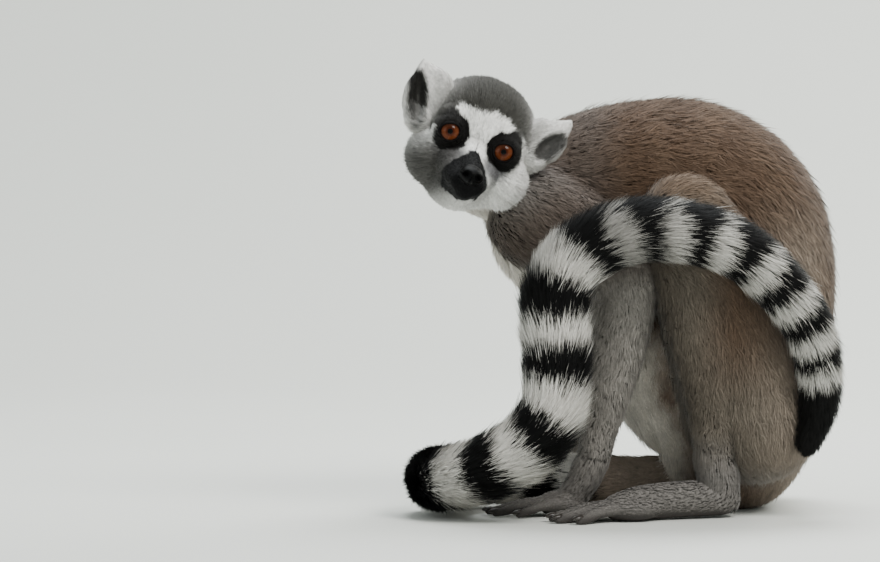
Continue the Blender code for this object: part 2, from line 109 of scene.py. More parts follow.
WRIST = [((-86, 50, 34), 10, 3), ((-92, 49, 20), 9.5, 2), ((-98, 48, 11), 9, 1.2)]
PALM = ((-104, 47, 6.5), (15, 12.5, 8), 0.8)
# a digit: where it starts, its heading in degrees from straight ahead, its length and its radius
TOES = [((-78, 88), 34, 21, 4.4), ((-83, 83), 24, 26, 4.4), ((-84, 77), 16, 27, 4.4), ((-80, 70), 6, 24, 4.2)]
BIG_TOE = ((-52, 66), -32, 27, 5.6)
FINGERS = [((-110, 57), 22, 20, 3.8), ((-116, 52), 10, 26, 3.8), ((-118, 46), 0, 27, 3.8), ((-114, 40), -12, 22, 3.6)]
THUMB = ((-98, 37), -42, 17, 4.0)
# along a digit: share of its length, height above the floor and share of its radius
DIGIT_PROFILE = [(-0.35, 7.0, 1.05), (0.0, 7.0, 1.0), (0.4, 5.8, 0.88), (0.78, 3.2, 0.84), (1.0, 2.2, 0.78)]
# limbs are written once, for either side; the right hand and foot then stand a little apart from their mirror image
HAND_SHIFTS = {"left": np.zeros(3), "right": np.array([-9.0, -4.0, 0.0])}
FOOT_SHIFTS = {"left": np.zeros(3), "right": np.array([5.0, 0.0, 0.0])}

# the grey cap's lower edge: place to the side and height; the black of the muzzle: height and half width
CAP_EDGE = [
    (-34, 8),
    (-29, 6),
    (-26.5, 3),
    (-24, 0),
    (-21, 0),
    (-19.5, 6),
    (-18, 13),
    (-15.5, 16.2),
    (-9, 16.6),
    (-3, 16.4),
    (4, 18.4),
    (12.4, 16.8),
    (18, 12.8),
    (24, 9.8),
    (34, 3),
]
MUZZLE_WIDTH = [
    (-34, 0),
    (-32.5, 5),
    (-30.5, 9),
    (-28, 12),
    (-25, 12.8),
    (-21, 12.2),
    (-17.5, 10.6),
    (-14, 8.2),
    (-11.5, 5.8),
    (-9, 3.6),
    (-7, 2.2),
    (-6, 0.2),
]

# the middle of the tail from its root to its tip
TAIL_PATH = [
    (-26, 6, 19),
    (-56, 5, 15),
    (-88, 3, 16),
    (-120, 1, 17.5),
    (-150, -8, 18.5),
    (-171, -30, 20),
    (-172, -60, 22),
    (-154, -82, 27.5),
    (-130, -94, 40),
    (-114, -99, 58),
    (-109, -99, 82),
    (-109, -97, 104),
    (-108, -99, 127),
    (-95, -101, 148),
    (-70, -104, 161),
    (-40, -104, 162),
    (-11, -100, 153),
    (13, -93, 134),
    (30, -85, 111),
    (38, -77, 86),
    (38, -71, 62),
    (33, -69, 43),
]
# radius out to the hair's tips, and of the tail under its hair, by share of the tail's length
TAIL_RADII = [
    (0.0, 15),
    (0.1, 16),
    (0.25, 19.5),
    (0.4, 22.5),
    (0.6, 22.5),
    (0.7, 20.5),
    (0.8, 18.5),
    (0.9, 16.5),
    (0.95, 14),
    (1.0, 8),
]
TAIL_SKIN = [(0.0, 10), (0.3, 9.5), (0.7, 8), (1.0, 4)]
# middle of each pale ring, as a distance along the tail from its root
TAIL_RINGS = [78, 114, 150, 214, 249, 284, 320, 360, 394, 421, 448, 476, 503, 528, 550]
RING_LEAD = 10.0  # the hairs of a ring are rooted this far before the place where it shows

REGIONS = 8
TRUNK_R, LEG_R, ARM_R, FOOT_R, HAND_R, TAIL_R, HEAD_R, EAR_R = range(REGIONS)
# roots are darker than tips: partly the darker underfur, partly painted shade deep in the coat
ROOT_SHADE = np.array([0.82, 0.78, 0.76, 0.72, 0.72, 0.6, 0.8, 0.8])  # by region, hair's roots against its tips
SIDES = {"left": -1.0, "right": 1.0}  # sign of Y on that side of the body
HEAD_SIDES = {"left": 1.0, "right": -1.0}  # sign of side in the head's frame


def unit(rows):
    """Each row at length 1."""
    return rows / np.maximum(np.linalg.norm(rows, axis=-1, keepdims=True), 1e-9)


def linear(code):
    """An sRGB colour such as '#6f6258' as linear red, green and blue."""
    value = np.array([int(code[i : i + 2], 16) / 255 for i in (1, 3, 5)])
    return tuple(np.where(value <= 0.04045, value / 12.92, ((value + 0.055) / 1.055) ** 2.4))


def head_axes():
    """The head's side, forward and up as columns: turned by its yaw, then tilted by its roll."""
    forward = np.array([math.sin(HEAD_YAW), -math.cos(HEAD_YAW), 0.0])
    up = np.array([math.sin(HEAD_ROLL), 0.0, math.cos(HEAD_ROLL)])
    up = unit(up - forward * (up @ forward))
    return np.column_stack([np.cross(up, forward), forward, up])


HEAD_TURN = head_axes()


def head_point(local):
    """Places given as side, forward and up from the middle of the eyes, in the body's frame."""
    return HEAD_ORIGIN + np.asarray(local, float) @ HEAD_TURN.T


def in_head(places):
    """Places of the body's frame as side, forward and up from the middle of the eyes."""
    return (places - HEAD_ORIGIN) @ HEAD_TURN


def ramp(value, low, high):
    """0 below low, 1 above high and a smooth rise between."""
    t = np.clip((value - low) / (high - low), 0, 1)
    return t * t * (3 - 2 * t)


def blend(a, b, share):
    """From a to b by a share for each row."""
    return a + (b - a) * share[:, None]


def smooth_path(rows, steps):
    """A Catmull-Rom curve through rows: each span is a cubic in t whose ends and slopes come from four rows."""
    rows = np.asarray(rows, float)
    rows = np.vstack([2 * rows[0] - rows[1], rows, 2 * rows[-1] - rows[-2]])
    t = np.linspace(0, 1, steps, endpoint=False)[None, :, None]
    a, b, c, d = (rows[i : len(rows) - 3 + i][:, None] for i in range(4))
    spans = 0.5 * (2 * b + (c - a) * t + (2 * a - 5 * b + 4 * c - d) * t**2 + (3 * b - a - 3 * c + d) * t**3)
    return np.vstack([spans.reshape(-1, rows.shape[1]), rows[-2:-1]])


def tail_rows():
    """Rows of place, outer radius and coat depth at even steps along the tail, and the distance of each."""
    path = smooth_path(TAIL_PATH, 12)
    along = np.append(0, np.cumsum(np.linalg.norm(np.diff(path, axis=0), axis=1)))
    share = np.linspace(0, 1, 150)
    places = np.array([np.interp(share * along[-1], along, path[:, i]) for i in range(3)]).T
    outer = np.interp(share, *zip(*TAIL_RADII))
    skin = np.minimum(np.interp(share, *zip(*TAIL_SKIN)), outer - 4)
    return np.column_stack([places, outer, outer - skin]), share * along[-1]


# ------------------------------------------------------------------ the forms under the coat
def tube_form(region, stations, flow="along", steps=6, side=0.0):
    """A limb as rows of place, skin radius and coat depth; flow says which way its hair lies."""
    rows = stations if isinstance(stations, np.ndarray) else smooth_path([(*p, r, d) for p, r, d in stations], steps)
    rows = rows.copy()
    rows[:, 3] -= rows[:, 4]
    return {"kind": "tube", "region": region, "rows": rows, "flow": flow, "side": side}


def ball_form(region, centre, radii, depth, turn=None, flow=(0, 0, -1), side=0.0):
    """An ellipsoid by its centre, its skin's radii and its axes as the columns of turn."""
    return {
        "kind": "ball",
        "region": region,
        "centre": np.asarray(centre, float),
        "radii": np.asarray(radii, float) - depth,
        "turn": np.eye(3) if turn is None else turn,
        "depth": depth,
        "flow": flow,
        "side": side,
    }


def leaned(degrees):
    """The head's axes turned about forward, a positive angle taking up towards side."""
    c, s = math.cos(math.radians(degrees)), math.sin(math.radians(degrees))
    return HEAD_TURN @ np.array([[c, 0, s], [0, 1, 0], [-s, 0, c]])


def on_side(stations, side, shift=(0, 0, 0), growing=False):
    """Stations of a limb, set on one side; shift moves them all, or grows from none to the last."""
    shares = np.arange(len(stations)) / (len(stations) - 1) if growing else np.ones(len(stations))
    shift = np.asarray(shift, float)
    return [
        (tuple(np.array([x, y * side, z]) + shift * share), radius, depth)
        for ((x, y, z), radius, depth), share in zip(stations, shares)
    ]


def pad_form(region, pad, side, shift):
    """The ball of a palm or of a sole, set on one side; its hair lies forward, to the digits."""
    (x, y, z), radii, depth = pad
    return ball_form(region, np.array([x, y * side, z]) + shift, radii, depth, flow=(-1, 0, 0), side=side)


def digit_stations(digit, side, shift, depth=0.5):
    """A finger or toe as places, radii and coat depth from its root to its tip."""
    (x, y), heading, length, radius = digit
    angle = math.radians(heading)
    along = np.array([-math.cos(angle), side * math.sin(angle), 0.0])
    root = np.array([x, y * side, 0.0]) + shift
    return [(tuple(root + along * length * t + np.array([0, 0, z])), radius * r, depth) for t, z, r in DIGIT_PROFILE]


def body_forms():
    """Every form that the skin covers."""
    tail, _ = tail_rows()
    forms = [
        tube_form(TRUNK_R, TRUNK),
        ball_form(TRUNK_R, *BREAST, flow=(0.3, 0, -1)),
        ball_form(TRUNK_R, *BELLY, flow=(0.2, 0, -1)),
        tube_form(TRUNK_R, FRONT, flow=(0.25, 0, -1)),
        tube_form(TRUNK_R, NECK, flow="back"),
        tube_form(TAIL_R, tail),
    ]
    for name, side in SIDES.items():
        hand, foot = HAND_SHIFTS[name], FOOT_SHIFTS[name]
        forms += [
            tube_form(LEG_R, on_side(THIGH, side), flow="down the thigh", side=side),
            tube_form(LEG_R, on_side(SHANK, side), side=side),
            tube_form(FOOT_R, on_side(HEEL, side), side=side),
            tube_form(FOOT_R, on_side(SOLE, side, foot), side=side),
            pad_form(FOOT_R, FOOT_PAD, side, foot),
            tube_form(ARM_R, on_side(UPPER_ARM, side), side=side),
            tube_form(ARM_R, on_side(FOREARM, side, hand, growing=True), side=side),
            tube_form(HAND_R, on_side(WRIST, side, hand), side=side),
            pad_form(HAND_R, PALM, side, hand),
        ]
        forms += [tube_form(FOOT_R, digit_stations(d, side, foot), steps=4, side=side) for d in [*TOES, BIG_TOE]]
        forms += [tube_form(HAND_R, digit_stations(d, side, hand), steps=4, side=side) for d in [*FINGERS, THUMB]]
    return forms + head_forms()


def head_forms():
    """Skull, muzzle, jaw, cheeks, brows, lids' mounds and ears, each in the head's own frame."""
    flows = {HEAD_R: "from nose", EAR_R: "up the ear"}

    def ball(region, centre, radii, depth, lean=0.0, side=0.0):
        return ball_form(region, head_point(centre), radii, depth, leaned(lean), flows[region], side)

    def limb(region, stations, side=0.0):
        rows = smooth_path([(*head_point(place), radius, depth) for place, radius, depth in stations], 5)
        return tube_form(region, rows, flows[region], side=side)

    # braincase, forehead and throat, then the bridge of the nose and the chin
    forms = [
        ball(HEAD_R, (1.5, -20, 6.5), (33.5, 31, 31), 4.5),
        ball(HEAD_R, (0, -12, 12), (24, 20, 19), 3),
        ball(HEAD_R, (0, -12, -20), (27, 22, 19), 6),
        limb(
            HEAD_R,
            [((0, -6, -8), 16, 2), ((0, 8, -9.5), 9.5, 1.4), ((0, 22, -15), 7.2, 1.0), ((0, 34, -18.5), 6.0, 0.7)],
        ),
        limb(
            HEAD_R,
            [((0, -18, -22), 18, 3), ((0, 4, -24), 13.5, 2), ((0, 21, -25.5), 9.4, 1.2), ((0, 30, -26.5), 6.6, 0.8)],
        ),
    ]
    for name, side in HEAD_SIDES.items():
        aside, above, tall, wide, tuck, lean = EARS[name]
        droop = 18 - tall  # a lower ear also has its rim lower

        def spot(out, forward, up):
            return (side * (out + tuck * (up - 31)) + aside, forward, up + above)

        upper_lip = [
            ((side * 6, -4, -14), 14, 2),
            ((side * 6, 8, -16.5), 9.5, 1.4),
            ((side * 4.6, 22, -21.5), 7.8, 1.0),
            ((side * 3.2, 32, -23.5), 6.6, 0.7),
        ]
        outer_rim = [
            (spot(37, -13, 4 + droop), 9, 2),
            (spot(42, -13, 20), 7.5, 2),
            (spot(44.5, -13.5, 28), 4.4, 1.6),
            (spot(45.5, -14, 32), 2.6, 0.9),
        ]
        inner_rim = [
            (spot(45, -14, 31), 2.8, 1.0),
            (spot(38.5, -13, 29 - 0.5 * droop), 4.6, 2),
            (spot(31, -12, 24.5 - 0.5 * droop), 6, 2),
            (spot(28, -12, 8), 7, 2),
        ]
        # lip, cheek, brow, cheekbone and eye's mound, then the ear's bowl and its two rims
        forms += [
            limb(HEAD_R, upper_lip),
            ball(HEAD_R, (side * 18.2 + 1.6, -14, -13), (19.5, 24, 20.5), 7),
            ball(HEAD_R, (side * 15, -1, 8.5), (11, 8, 7), 1.6),
            ball(HEAD_R, (side * 17, -3, -8), (11, 8.5, 8), 1.4),
            ball(HEAD_R, (side * EYE_SPREAD, 1.4, 0), (9.9, 9.9, 9.9), 0.8),
            ball(EAR_R, (side * 38 + aside, -13, 31 - tall + above), (wide, 8, tall), 2.0, side * lean, side),
            limb(EAR_R, outer_rim, side),
            limb(EAR_R, inner_rim, side),
        ]
    return forms


def ear_hollow(name):
    """Centre, radii and axes of the hollow in an ear's front."""
    side = HEAD_SIDES[name]
    out, above, wide, tall, lean = EAR_HOLLOWS[name]
    return head_point((side * out, -4.5, above)), np.array([wide, 8.5, tall]), leaned(side * lean)


GAZE = unit(np.array(GAZE_WAY))


def eye_centre(side):
    """The middle of an eyeball."""
    return head_point((side * EYE_SPREAD, EYE_DEPTH, 0.0))


def off_gaze(places, side):
    """Offset of each place from an eye's centre, its distance, and its angle off the gaze in degrees."""
    away = places - eye_centre(side)
    far = np.linalg.norm(away, axis=1)
    return away, far, np.degrees(np.arccos(np.clip(away @ GAZE / np.maximum(far, 1e-6), -1, 1)))


# ------------------------------------------------------------------ surfaces
def grid_faces(rows, columns, offset=0):
    """Triangles of a grid of rows by columns that closes on itself along each row."""
    i, j = np.meshgrid(np.arange(rows - 1), np.arange(columns), indexing="ij")
    k = (j + 1) % columns
    a, b, c, d = i * columns + j, i * columns + k, (i + 1) * columns + k, (i + 1) * columns + j
    return offset + np.concatenate([np.stack([a, b, c], -1).reshape(-1, 3), np.stack([a, c, d], -1).reshape(-1, 3)])


def pole_faces(rows, columns, offset=0):
    """Fans that close a grid's first and last row onto the two points that follow it."""
    j = np.arange(columns)
    k = (j + 1) % columns
    first, last = offset + rows * columns, offset + rows * columns + 1
    base = offset + (rows - 1) * columns
    return np.concatenate(
        [
            np.stack([np.full_like(j, first), offset + k, offset + j], -1),
            np.stack([np.full_like(j, last), base + j, base + k], -1),
        ]
    )


def path_frames(places):
    """Two unit directions across a path at each place, carried along it so that they do not twist."""
    tangents = unit(np.gradient(places, axis=0))
    across = np.zeros_like(places)
    last = np.cross(tangents[0], (0.0, 0.0, 1.0) if abs(tangents[0][2]) < 0.9 else (1.0, 0.0, 0.0))
    for i, tangent in enumerate(tangents):
        last = unit(last - tangent * (last @ tangent))
        across[i] = last
    return across, np.cross(tangents, across)


def tube_surface(rows, sides=32):
    """p(i, a) = c_i + r_i (cos a u_i + sin a w_i); half-round ends add rows at c ± r sin q of radius r cos q."""
    q = np.radians([25, 50, 70, 84])[:, None]
    ends = []
    for row, inner in ((rows[0], rows[1]), (rows[-1], rows[-2])):
        away = unit(row[:3] - inner[:3])
        ends.append(np.hstack([row[:3] + away * row[3] * np.sin(q), row[3] * np.cos(q)]))
    rows = np.vstack([ends[0][::-1], rows[:, :4], ends[1]])
    u, w = path_frames(rows[:, :3])
    a = np.linspace(0, 2 * np.pi, sides, endpoint=False)[None, :, None]
    points = rows[:, None, :3] + rows[:, None, 3:4] * (np.cos(a) * u[:, None] + np.sin(a) * w[:, None])
    points = np.vstack([points.reshape(-1, 3), rows[:1, :3], rows[-1:, :3]])
    return points, np.vstack([grid_faces(len(rows), sides), pole_faces(len(rows), sides)])


def ball_surface(centre, radii, turn, rows=24, columns=40):
    """p(q, a) = centre + turn (radii * (sin q cos a, sin q sin a, cos q))."""
    q = np.linspace(0, np.pi, rows + 2)[1:-1, None]
    a = np.linspace(0, 2 * np.pi, columns, endpoint=False)[None]
    sphere = np.stack([np.sin(q) * np.cos(a), np.sin(q) * np.sin(a), np.cos(q) + 0 * a], -1).reshape(-1, 3)
    sphere = np.vstack([sphere, [[0, 0, 1.0], [0, 0, -1.0]]])
    return centre + (sphere * radii) @ turn.T, np.vstack([grid_faces(rows, columns), pole_faces(rows, columns)])


def joined(surfaces):
    """Several surfaces as one list of points and one of triangles."""
    offset, points, faces = 0, [], []
    for place, corners in surfaces:
        points.append(place)
        faces.append(corners + offset)
        offset += len(place)
    return np.vstack(points), np.vstack(faces)


def mesh_of(name, points, faces):
    """A smooth-shaded mesh of triangles from arrays, in millimetres."""
    mesh = bpy.data.meshes.new(name)
    mesh.vertices.add(len(points))
    mesh.vertices.foreach_set("co", (points * MM).astype(np.float32).ravel())
    mesh.loops.add(faces.size)
    mesh.loops.foreach_set("vertex_index", faces.astype(np.int32).ravel())
    mesh.polygons.add(len(faces))
    mesh.polygons.foreach_set("loop_start", np.arange(0, faces.size, 3, dtype=np.int32))
    mesh.polygons.foreach_set("use_smooth", np.ones(len(faces), bool))
    mesh.update(calc_edges=True)
    return mesh


def add_object(name, data):
    """Links an object into the scene; one that an earlier run left under its name goes first."""
    old = bpy.data.objects.get(name)
    if old:
        bpy.data.objects.remove(old)
    made = bpy.data.objects.new(name, data)
    bpy.context.scene.collection.objects.link(made)
    return made


def add_piece(name, mesh, material):
    """A piece of the lemur, which rides on its one body."""
    piece = add_object(name, mesh)
    mesh.materials.clear()
    mesh.materials.append(material)
    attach(piece, "root")
    return piece


def read_points(mesh):
    """A mesh's vertices in millimetres."""
    points = np.empty(len(mesh.vertices) * 3, np.float32)
    mesh.vertices.foreach_get("co", points)
    return points.reshape(-1, 3).astype(float) / MM


def read_triangles(mesh):
    """A mesh's faces as rows of three vertices."""
    mesh.calc_loop_triangles()
    corners = np.empty(len(mesh.loop_triangles) * 3, np.int32)
    mesh.loop_triangles.foreach_get("vertices", corners)
    return corners.reshape(-1, 3)


def vertex_normals(points, faces):
    """At each vertex, the sum of (b - a) x (c - a) over its triangles, at length 1."""
    across = np.cross(points[faces[:, 1]] - points[faces[:, 0]], points[faces[:, 2]] - points[faces[:, 0]])
    sums = [sum(np.bincount(faces[:, k], across[:, i], len(points)) for k in range(3)) for i in range(3)]
    return unit(np.stack(sums, -1))


def paint(mesh, colours):
    """Keeps a colour for each vertex in the layer called coat, which the materials read."""
    layer = mesh.color_attributes.new("coat", "FLOAT_COLOR", "POINT")
    layer.data.foreach_set("color", np.column_stack([colours, np.ones(len(colours))]).astype(np.float32).ravel())


# ------------------------------------------------------------------ what the body is like at a place
def nearest_on(form, places):
    """For each place: how far it is outside the form, the way the hair lies, the coat's depth, and the row."""
    if form["kind"] == "ball":
        inside = (places - form["centre"]) @ form["turn"]
        stretch = np.linalg.norm(inside / form["radii"], axis=1)
        away = (stretch - 1) * np.min(form["radii"])
        depth, row = np.full(len(places), float(form["depth"])), np.zeros(len(places), int)
        way = np.zeros((len(places), 3))
    else:
        rows = form["rows"]
        gap = np.linalg.norm(places[:, None] - rows[None, :, :3], axis=2) - rows[None, :, 3]
        row = gap.argmin(1)
        away, depth = gap[np.arange(len(places)), row], rows[row, 4]
        way = unit(np.gradient(rows[:, :3], axis=0))[row] * (-1 if form["flow"] == "back" else 1)
    if not isinstance(form["flow"], str):
        way = np.tile(np.asarray(form["flow"], float), (len(places), 1))
    return away, way, depth, row


def body_field(places, forms, softness=3.5):
    """Coat depth, hair direction, share of each region and distance along the tail; near forms count most.

    Each form weighs exp(-(d - least d) / softness), where d is the place's distance outside it.
    """
    found = [nearest_on(form, places) for form in forms]
    away = np.stack([f[0] for f in found], 1)
    weight = np.exp(-np.clip((away - away.min(1, keepdims=True)) / softness, 0, 30))
    weight /= weight.sum(1, keepdims=True)
    depth = (weight * np.stack([f[2] for f in found], 1)).sum(1)
    nose, ways = head_point((0, 44, -15)), []
    for form, (_, way, _, _) in zip(forms, found):
        if form["flow"] == "from nose":
            # away from the nose, and down to the nape behind the ears
            behind = ramp(-in_head(places)[:, 1], 22, 46)[:, None]
            way = unit(places - nose) + np.array([1.1, 0.0, -0.5]) * behind
        elif form["flow"] == "down the thigh":
            upper = ramp(places[:, 2], 118, 160)[:, None]
            way = np.array([1.0, 0.0, 0.0]) * upper + np.array([0.25, 0.0, -1.0]) * (1 - upper)
        elif form["flow"] == "up the ear":
            across, ahead, _ = in_head(places).T
            fore = (ramp(ahead, -14, -9) * ramp(-np.abs(across), -41, -34))[:, None]
            up_it, over_rim = np.array([form["side"] * 0.35, -0.15, 1.0]), np.array([form["side"], 0.25, 0.35])
            way = unit(up_it * (1 - fore) + over_rim * fore) @ HEAD_TURN.T
        ways.append(unit(way))
    way = unit(sum(weight[:, i : i + 1] * w for i, w in enumerate(ways)))
    region = np.array([form["region"] for form in forms])
    share = np.stack([weight[:, region == r].sum(1) for r in range(REGIONS)], 1)
    tail = next(i for i, form in enumerate(forms) if form["region"] == TAIL_R)
    _, along = tail_rows()
    return {"depth": depth, "way": way, "share": share, "arc": along[found[tail][3]]}


def in_chunks(function, places, *rest, size=20000):
    """A function's arrays for many places, worked out a stretch at a time to spare memory."""
    parts = [function(places[i : i + size], *rest) for i in range(0, len(places), size)]
    return {key: np.concatenate([part[key] for part in parts]) for key in parts[0]}


def wander(places, scale, seed):
    """A smooth value in about -1 to 1 that changes over scale millimetres: a sum of six turned sine waves."""
    rng = np.random.default_rng(seed)
    total = np.zeros(len(places))
    for i in range(6):
        way = unit(rng.normal(size=3)) * 2 * np.pi / (scale * rng.uniform(0.7, 1.6))
        total += np.sin(places @ way + rng.uniform(0, 2 * np.pi) + 1.3 * np.sin(places @ way[[1, 2, 0]] * 0.7))
    return total / 3.0


# ------------------------------------------------------------------ markings
def ellipse(u, v, centre, radii, edge):
    """1 inside an ellipse, 0 outside, over an edge that is a share of its size."""
    return 1 - ramp(np.hypot((u - centre[0]) / radii[0], (v - centre[1]) / radii[1]), 1 - edge, 1 + edge)


def head_markings(places, colours):
    """Grey crown, white brow and cheeks, black eye patches and black muzzle, by place in the head's frame."""
    side, ahead, up = in_head(places).T
    side = side + 0.3 * wander(places, 5, 11)
    up = up + 0.35 * wander(places, 5, 12)
    seen_side, seen_up = side + 0.1 * ahead, up - 0.04 * ahead
    tint = np.tile(colours["white_face"], (len(places), 1))
    # under the eyes the white turns grey; low on one cheek, towards the throat, painted shade darkens it to grey and
    # near-black; behind, the cheeks turn grey
    low = ellipse(np.abs(side), up, (14.5, -10.5), (9.0, 7.0), 0.45)
    tint = blend(tint, colours["under_eye"], low * 0.9)
    # painted shade: grey low on one cheek, below its eye
    tint = blend(tint, colours["neck_grey"], ellipse(side, up, (-16, -13), (13, 8), 0.6) * 0.5)
    # painted shade: darker grey further down the same cheek, towards the throat
    tint = blend(tint, colours["jaw_grey"], ellipse(side, up, (-22, -26), (21, 16), 0.55) * 0.95)
    back_cheek = ramp(-ahead, 14, 34) * ramp(-up, -6, 16)
    tint = blend(tint, colours["neck_grey"], back_cheek * 0.55)
    # the cap's lower edge over the brow, which drops towards the nape
    cap_edge = np.interp(side, *zip(*CAP_EDGE)) - 1.25 * np.maximum(0, -14 - ahead)
    tint = blend(tint, colours["crown"], ramp(up - cap_edge, -0.8, 1.2))
    # each eye patch is a round and a smaller one above and outside it
    across = np.abs(side) - 15.4
    across = across / np.where(across > 0, np.where(side < 0, 0.86, 0.9), 1.0)
    patch = np.maximum(
        ellipse(across, up, (0, 0.2), (10.9, 10.9), 0.07),
        ellipse(across, up, (3.4, 6.0), (6.0, 7.0), 0.12),
    ) * ramp(ahead, -19, -14)
    tint = blend(tint, colours["eye_patch"], patch)
    width = np.interp(seen_up, *zip(*MUZZLE_WIDTH))
    muzzle = (1 - ramp(np.abs(seen_side - 1.2), width - 0.5, width + 0.5)) * ramp(ahead, 6, 9)
    muzzle = np.maximum(muzzle, ramp(ahead, 22, 26) * ramp(-up, 8.5, 11))
    return blend(tint, colours["muzzle"], muzzle)


def tail_markings(arc, upward, colours):
    """Pale and black rings that narrow towards the tip, from a grey root; arc is measured to each hair's root."""
    shown = arc + RING_LEAD
    rings = np.array(TAIL_RINGS, float)
    half = np.interp(rings, [80, 320, 400, 460, 540], [8.0, 8.2, 7.2, 6.0, 5.0])
    # over the arch of the tail the pale rings thin out along the upper side
    thin = 1 - 0.8 * ramp(upward, 0.15, 0.85) * ramp(arc, 365, 385)
    off = np.abs(shown[:, None] - rings[None]) - half[None] * thin[:, None]
    pale = 1 - ramp(off.min(1), -0.8, 0.8)
    tint = blend(np.tile(colours["ring_black"], (len(arc), 1)), colours["ring_white"], pale)
    tint = blend(tint, colours["tail_tip_grey"], pale * ramp(arc, 335, 385) * (0.85 - 0.6 * ramp(arc, 402, 420)))
    return blend(tint, colours["rump_grey"], 1 - ramp(shown, 58, 70))


def markings(places, normals, share, arc, colours):
    """The coat's colour at the tips and at the roots for each place."""
    x, y, z = places.T
    facing = -normals[:, 0]
    back = np.tile(colours["back"], (len(places), 1))
    warm = ramp(wander(places, 30, 1), -0.2, 1)
    back = blend(back, colours["back_light"], 0.5 * warm)
    # the rump's greyer hair, blended in most in the middle of the low back as painted light, fading to the back's
    # darker brown towards the rear as painted shade
    low = ramp(-z, -190, -135) * ramp(x, -20, 28)
    back = blend(back, colours["rump_grey"], low * (0.95 - 0.85 * ramp(x, 22, 46)))
    shoulder = ramp(-x, 62, 92)
    back = blend(back, colours["shoulder"], shoulder)
    belly = ramp(facing, 0.05, 0.55) * ramp(-z, -172, -150) * ramp(-x, 20, 45)
    belly = np.maximum(belly, ramp(facing, 0.25, 0.7) * ramp(-x, 110, 124) * ramp(-z, -190, -176))
    belly = np.maximum(belly, ramp(-normals[:, 2], 0.35, 0.8) * ramp(-x, 40, 70))
    back = blend(back, colours["belly"], belly)
    leg = np.tile(colours["leg"], (len(places), 1))
    leg = blend(leg, colours["back"], ramp(x, -34, -10) * ramp(z, 60, 110) * 0.85)
    leg = blend(leg, colours["rump_grey"], low * 0.7 * ramp(x, -20, 20))
    leg = blend(leg, colours["knee"], ramp(z, 168, 182) * ramp(-x, 8, 30))
    inner = ramp(-np.sign(y) * normals[:, 1], 0.1, 0.6)
    leg = blend(leg, colours["belly"], inner * ramp(-x, 14, 30))
    leg = blend(leg, colours["hand"], ramp(-z, -40, -22))
    arm = blend(np.tile(colours["arm"], (len(places), 1)), colours["shoulder"], ramp(z, 128, 150))
    arm = blend(arm, colours["belly"], inner * ramp(-z, -150, -120) * 0.8)
    foot = blend(np.tile(colours["hand"], (len(places), 1)), colours["digit"], ramp(-z, -7, -3) * 0.8)
    tail = tail_markings(arc, normals[:, 2], colours)
    head = head_markings(places, colours)
    ear = np.tile(colours["ear"], (len(places), 1))
    for name in HEAD_SIDES:
        centre, radii, turn = ear_hollow(name)
        inside = (places - centre) @ turn
        deep = 1 - ramp(np.hypot(inside[:, 0] / radii[0], inside[:, 2] / radii[2]), 0.82, 1.0)
        # painted light: the left ear's dark hollow is painted a little paler than the right's, as if lit
        ear = blend(ear, colours["concha"], deep * ramp(inside[:, 1], -12, -8) * (1 if name == "right" else 0.92))
    parts = [back, leg, arm, foot, foot, tail, head, ear]
    tip = sum(share[:, i : i + 1] * part for i, part in enumerate(parts))
    # the roots' colour is the tips' darkened: partly underfur, partly painted shade deep in the coat
    return tip, tip * (share @ ROOT_SHADE)[:, None]


# ------------------------------------------------------------------ materials
def node(tree, kind, settings=(), **links):
    """Adds a node: settings are its attributes, or its sockets' values by name; links give sockets to join."""
    made = tree.nodes.new(kind)
    for key, value in dict(settings).items():
        if key in made.inputs:
            made.inputs[key].default_value = value
        else:
            setattr(made, key, value)
    for key, source in links.items():
        tree.links.new(source, made.inputs[key.replace("_", " ")])
    return made


def new_material(name):
    """An empty material and its node tree, in place of one that an earlier run left."""
    old = bpy.data.materials.get(name)
    if old:
        bpy.data.materials.remove(old)
    material = bpy.data.materials.new(name)
    material.use_nodes = True
    tree = material.node_tree
    tree.nodes.clear()
    return material, tree


def finish_material(tree, shader):
    """Joins the shader to the material's output."""
    node(tree, "ShaderNodeOutputMaterial", Surface=shader.outputs[0])


def grained_marking(tree, per_metre, detail, darkest, lightest):
    """The colour painted on the mesh, made darker and lighter by a fine grain; the grain's height comes too."""
    colour = node(tree, "ShaderNodeAttribute", {"attribute_name": "coat"})
    place = node(tree, "ShaderNodeTexCoord")
    texture = {"Scale": per_metre, "Detail": detail}
    grain = node(tree, "ShaderNodeTexNoise", texture, Vector=place.outputs["Object"])
    levels = {"From Min": 0.3, "From Max": 0.7, "To Min": darkest, "To Max": lightest}
    lift = node(tree, "ShaderNodeMapRange", levels, Value=grain.outputs["Fac"])
    scaled = {"operation": "SCALE"}
    varied = node(tree, "ShaderNodeVectorMath", scaled, Vector=colour.outputs["Color"], Scale=lift.outputs[0])
    return varied.outputs[0], grain.outputs["Fac"]


def coat_material(name, roughness=0.7, sheen=0.12, specular=0.15):
    """Keratin hair: its colour is the marking painted on the mesh; a little sheen gives the soft rim of fur."""
    material, tree = new_material(name)
    # hair by hair variation about 1.5 mm across
    varied, _ = grained_marking(tree, 650.0, 2.0, 0.86, 1.14)
    keratin = {
        "Roughness": roughness,
        "Specular IOR Level": specular,
        "IOR": 1.55,
        "Sheen Weight": sheen,
        "Sheen Roughness": 0.45,
    }
    finish_material(tree, node(tree, "ShaderNodeBsdfPrincipled", keratin, Base_Color=varied))
    return material


def skin_material():
    """Skin with its short down: the same markings as the coat, broken by pores and down 0.8 mm apart."""
    material, tree = new_material("downy_skin")
    varied, grain = grained_marking(tree, 1200.0, 3.0, 0.75, 1.1)
    bump = node(tree, "ShaderNodeBump", {"Strength": 0.5, "Distance": 0.3 * MM}, Height=grain)
    skin = {"Roughness": 0.7, "Specular IOR Level": 0.25}
    finish_material(
        tree, node(tree, "ShaderNodeBsdfPrincipled", skin, Base_Color=varied, Normal=bump.outputs[0])
    )
    return material


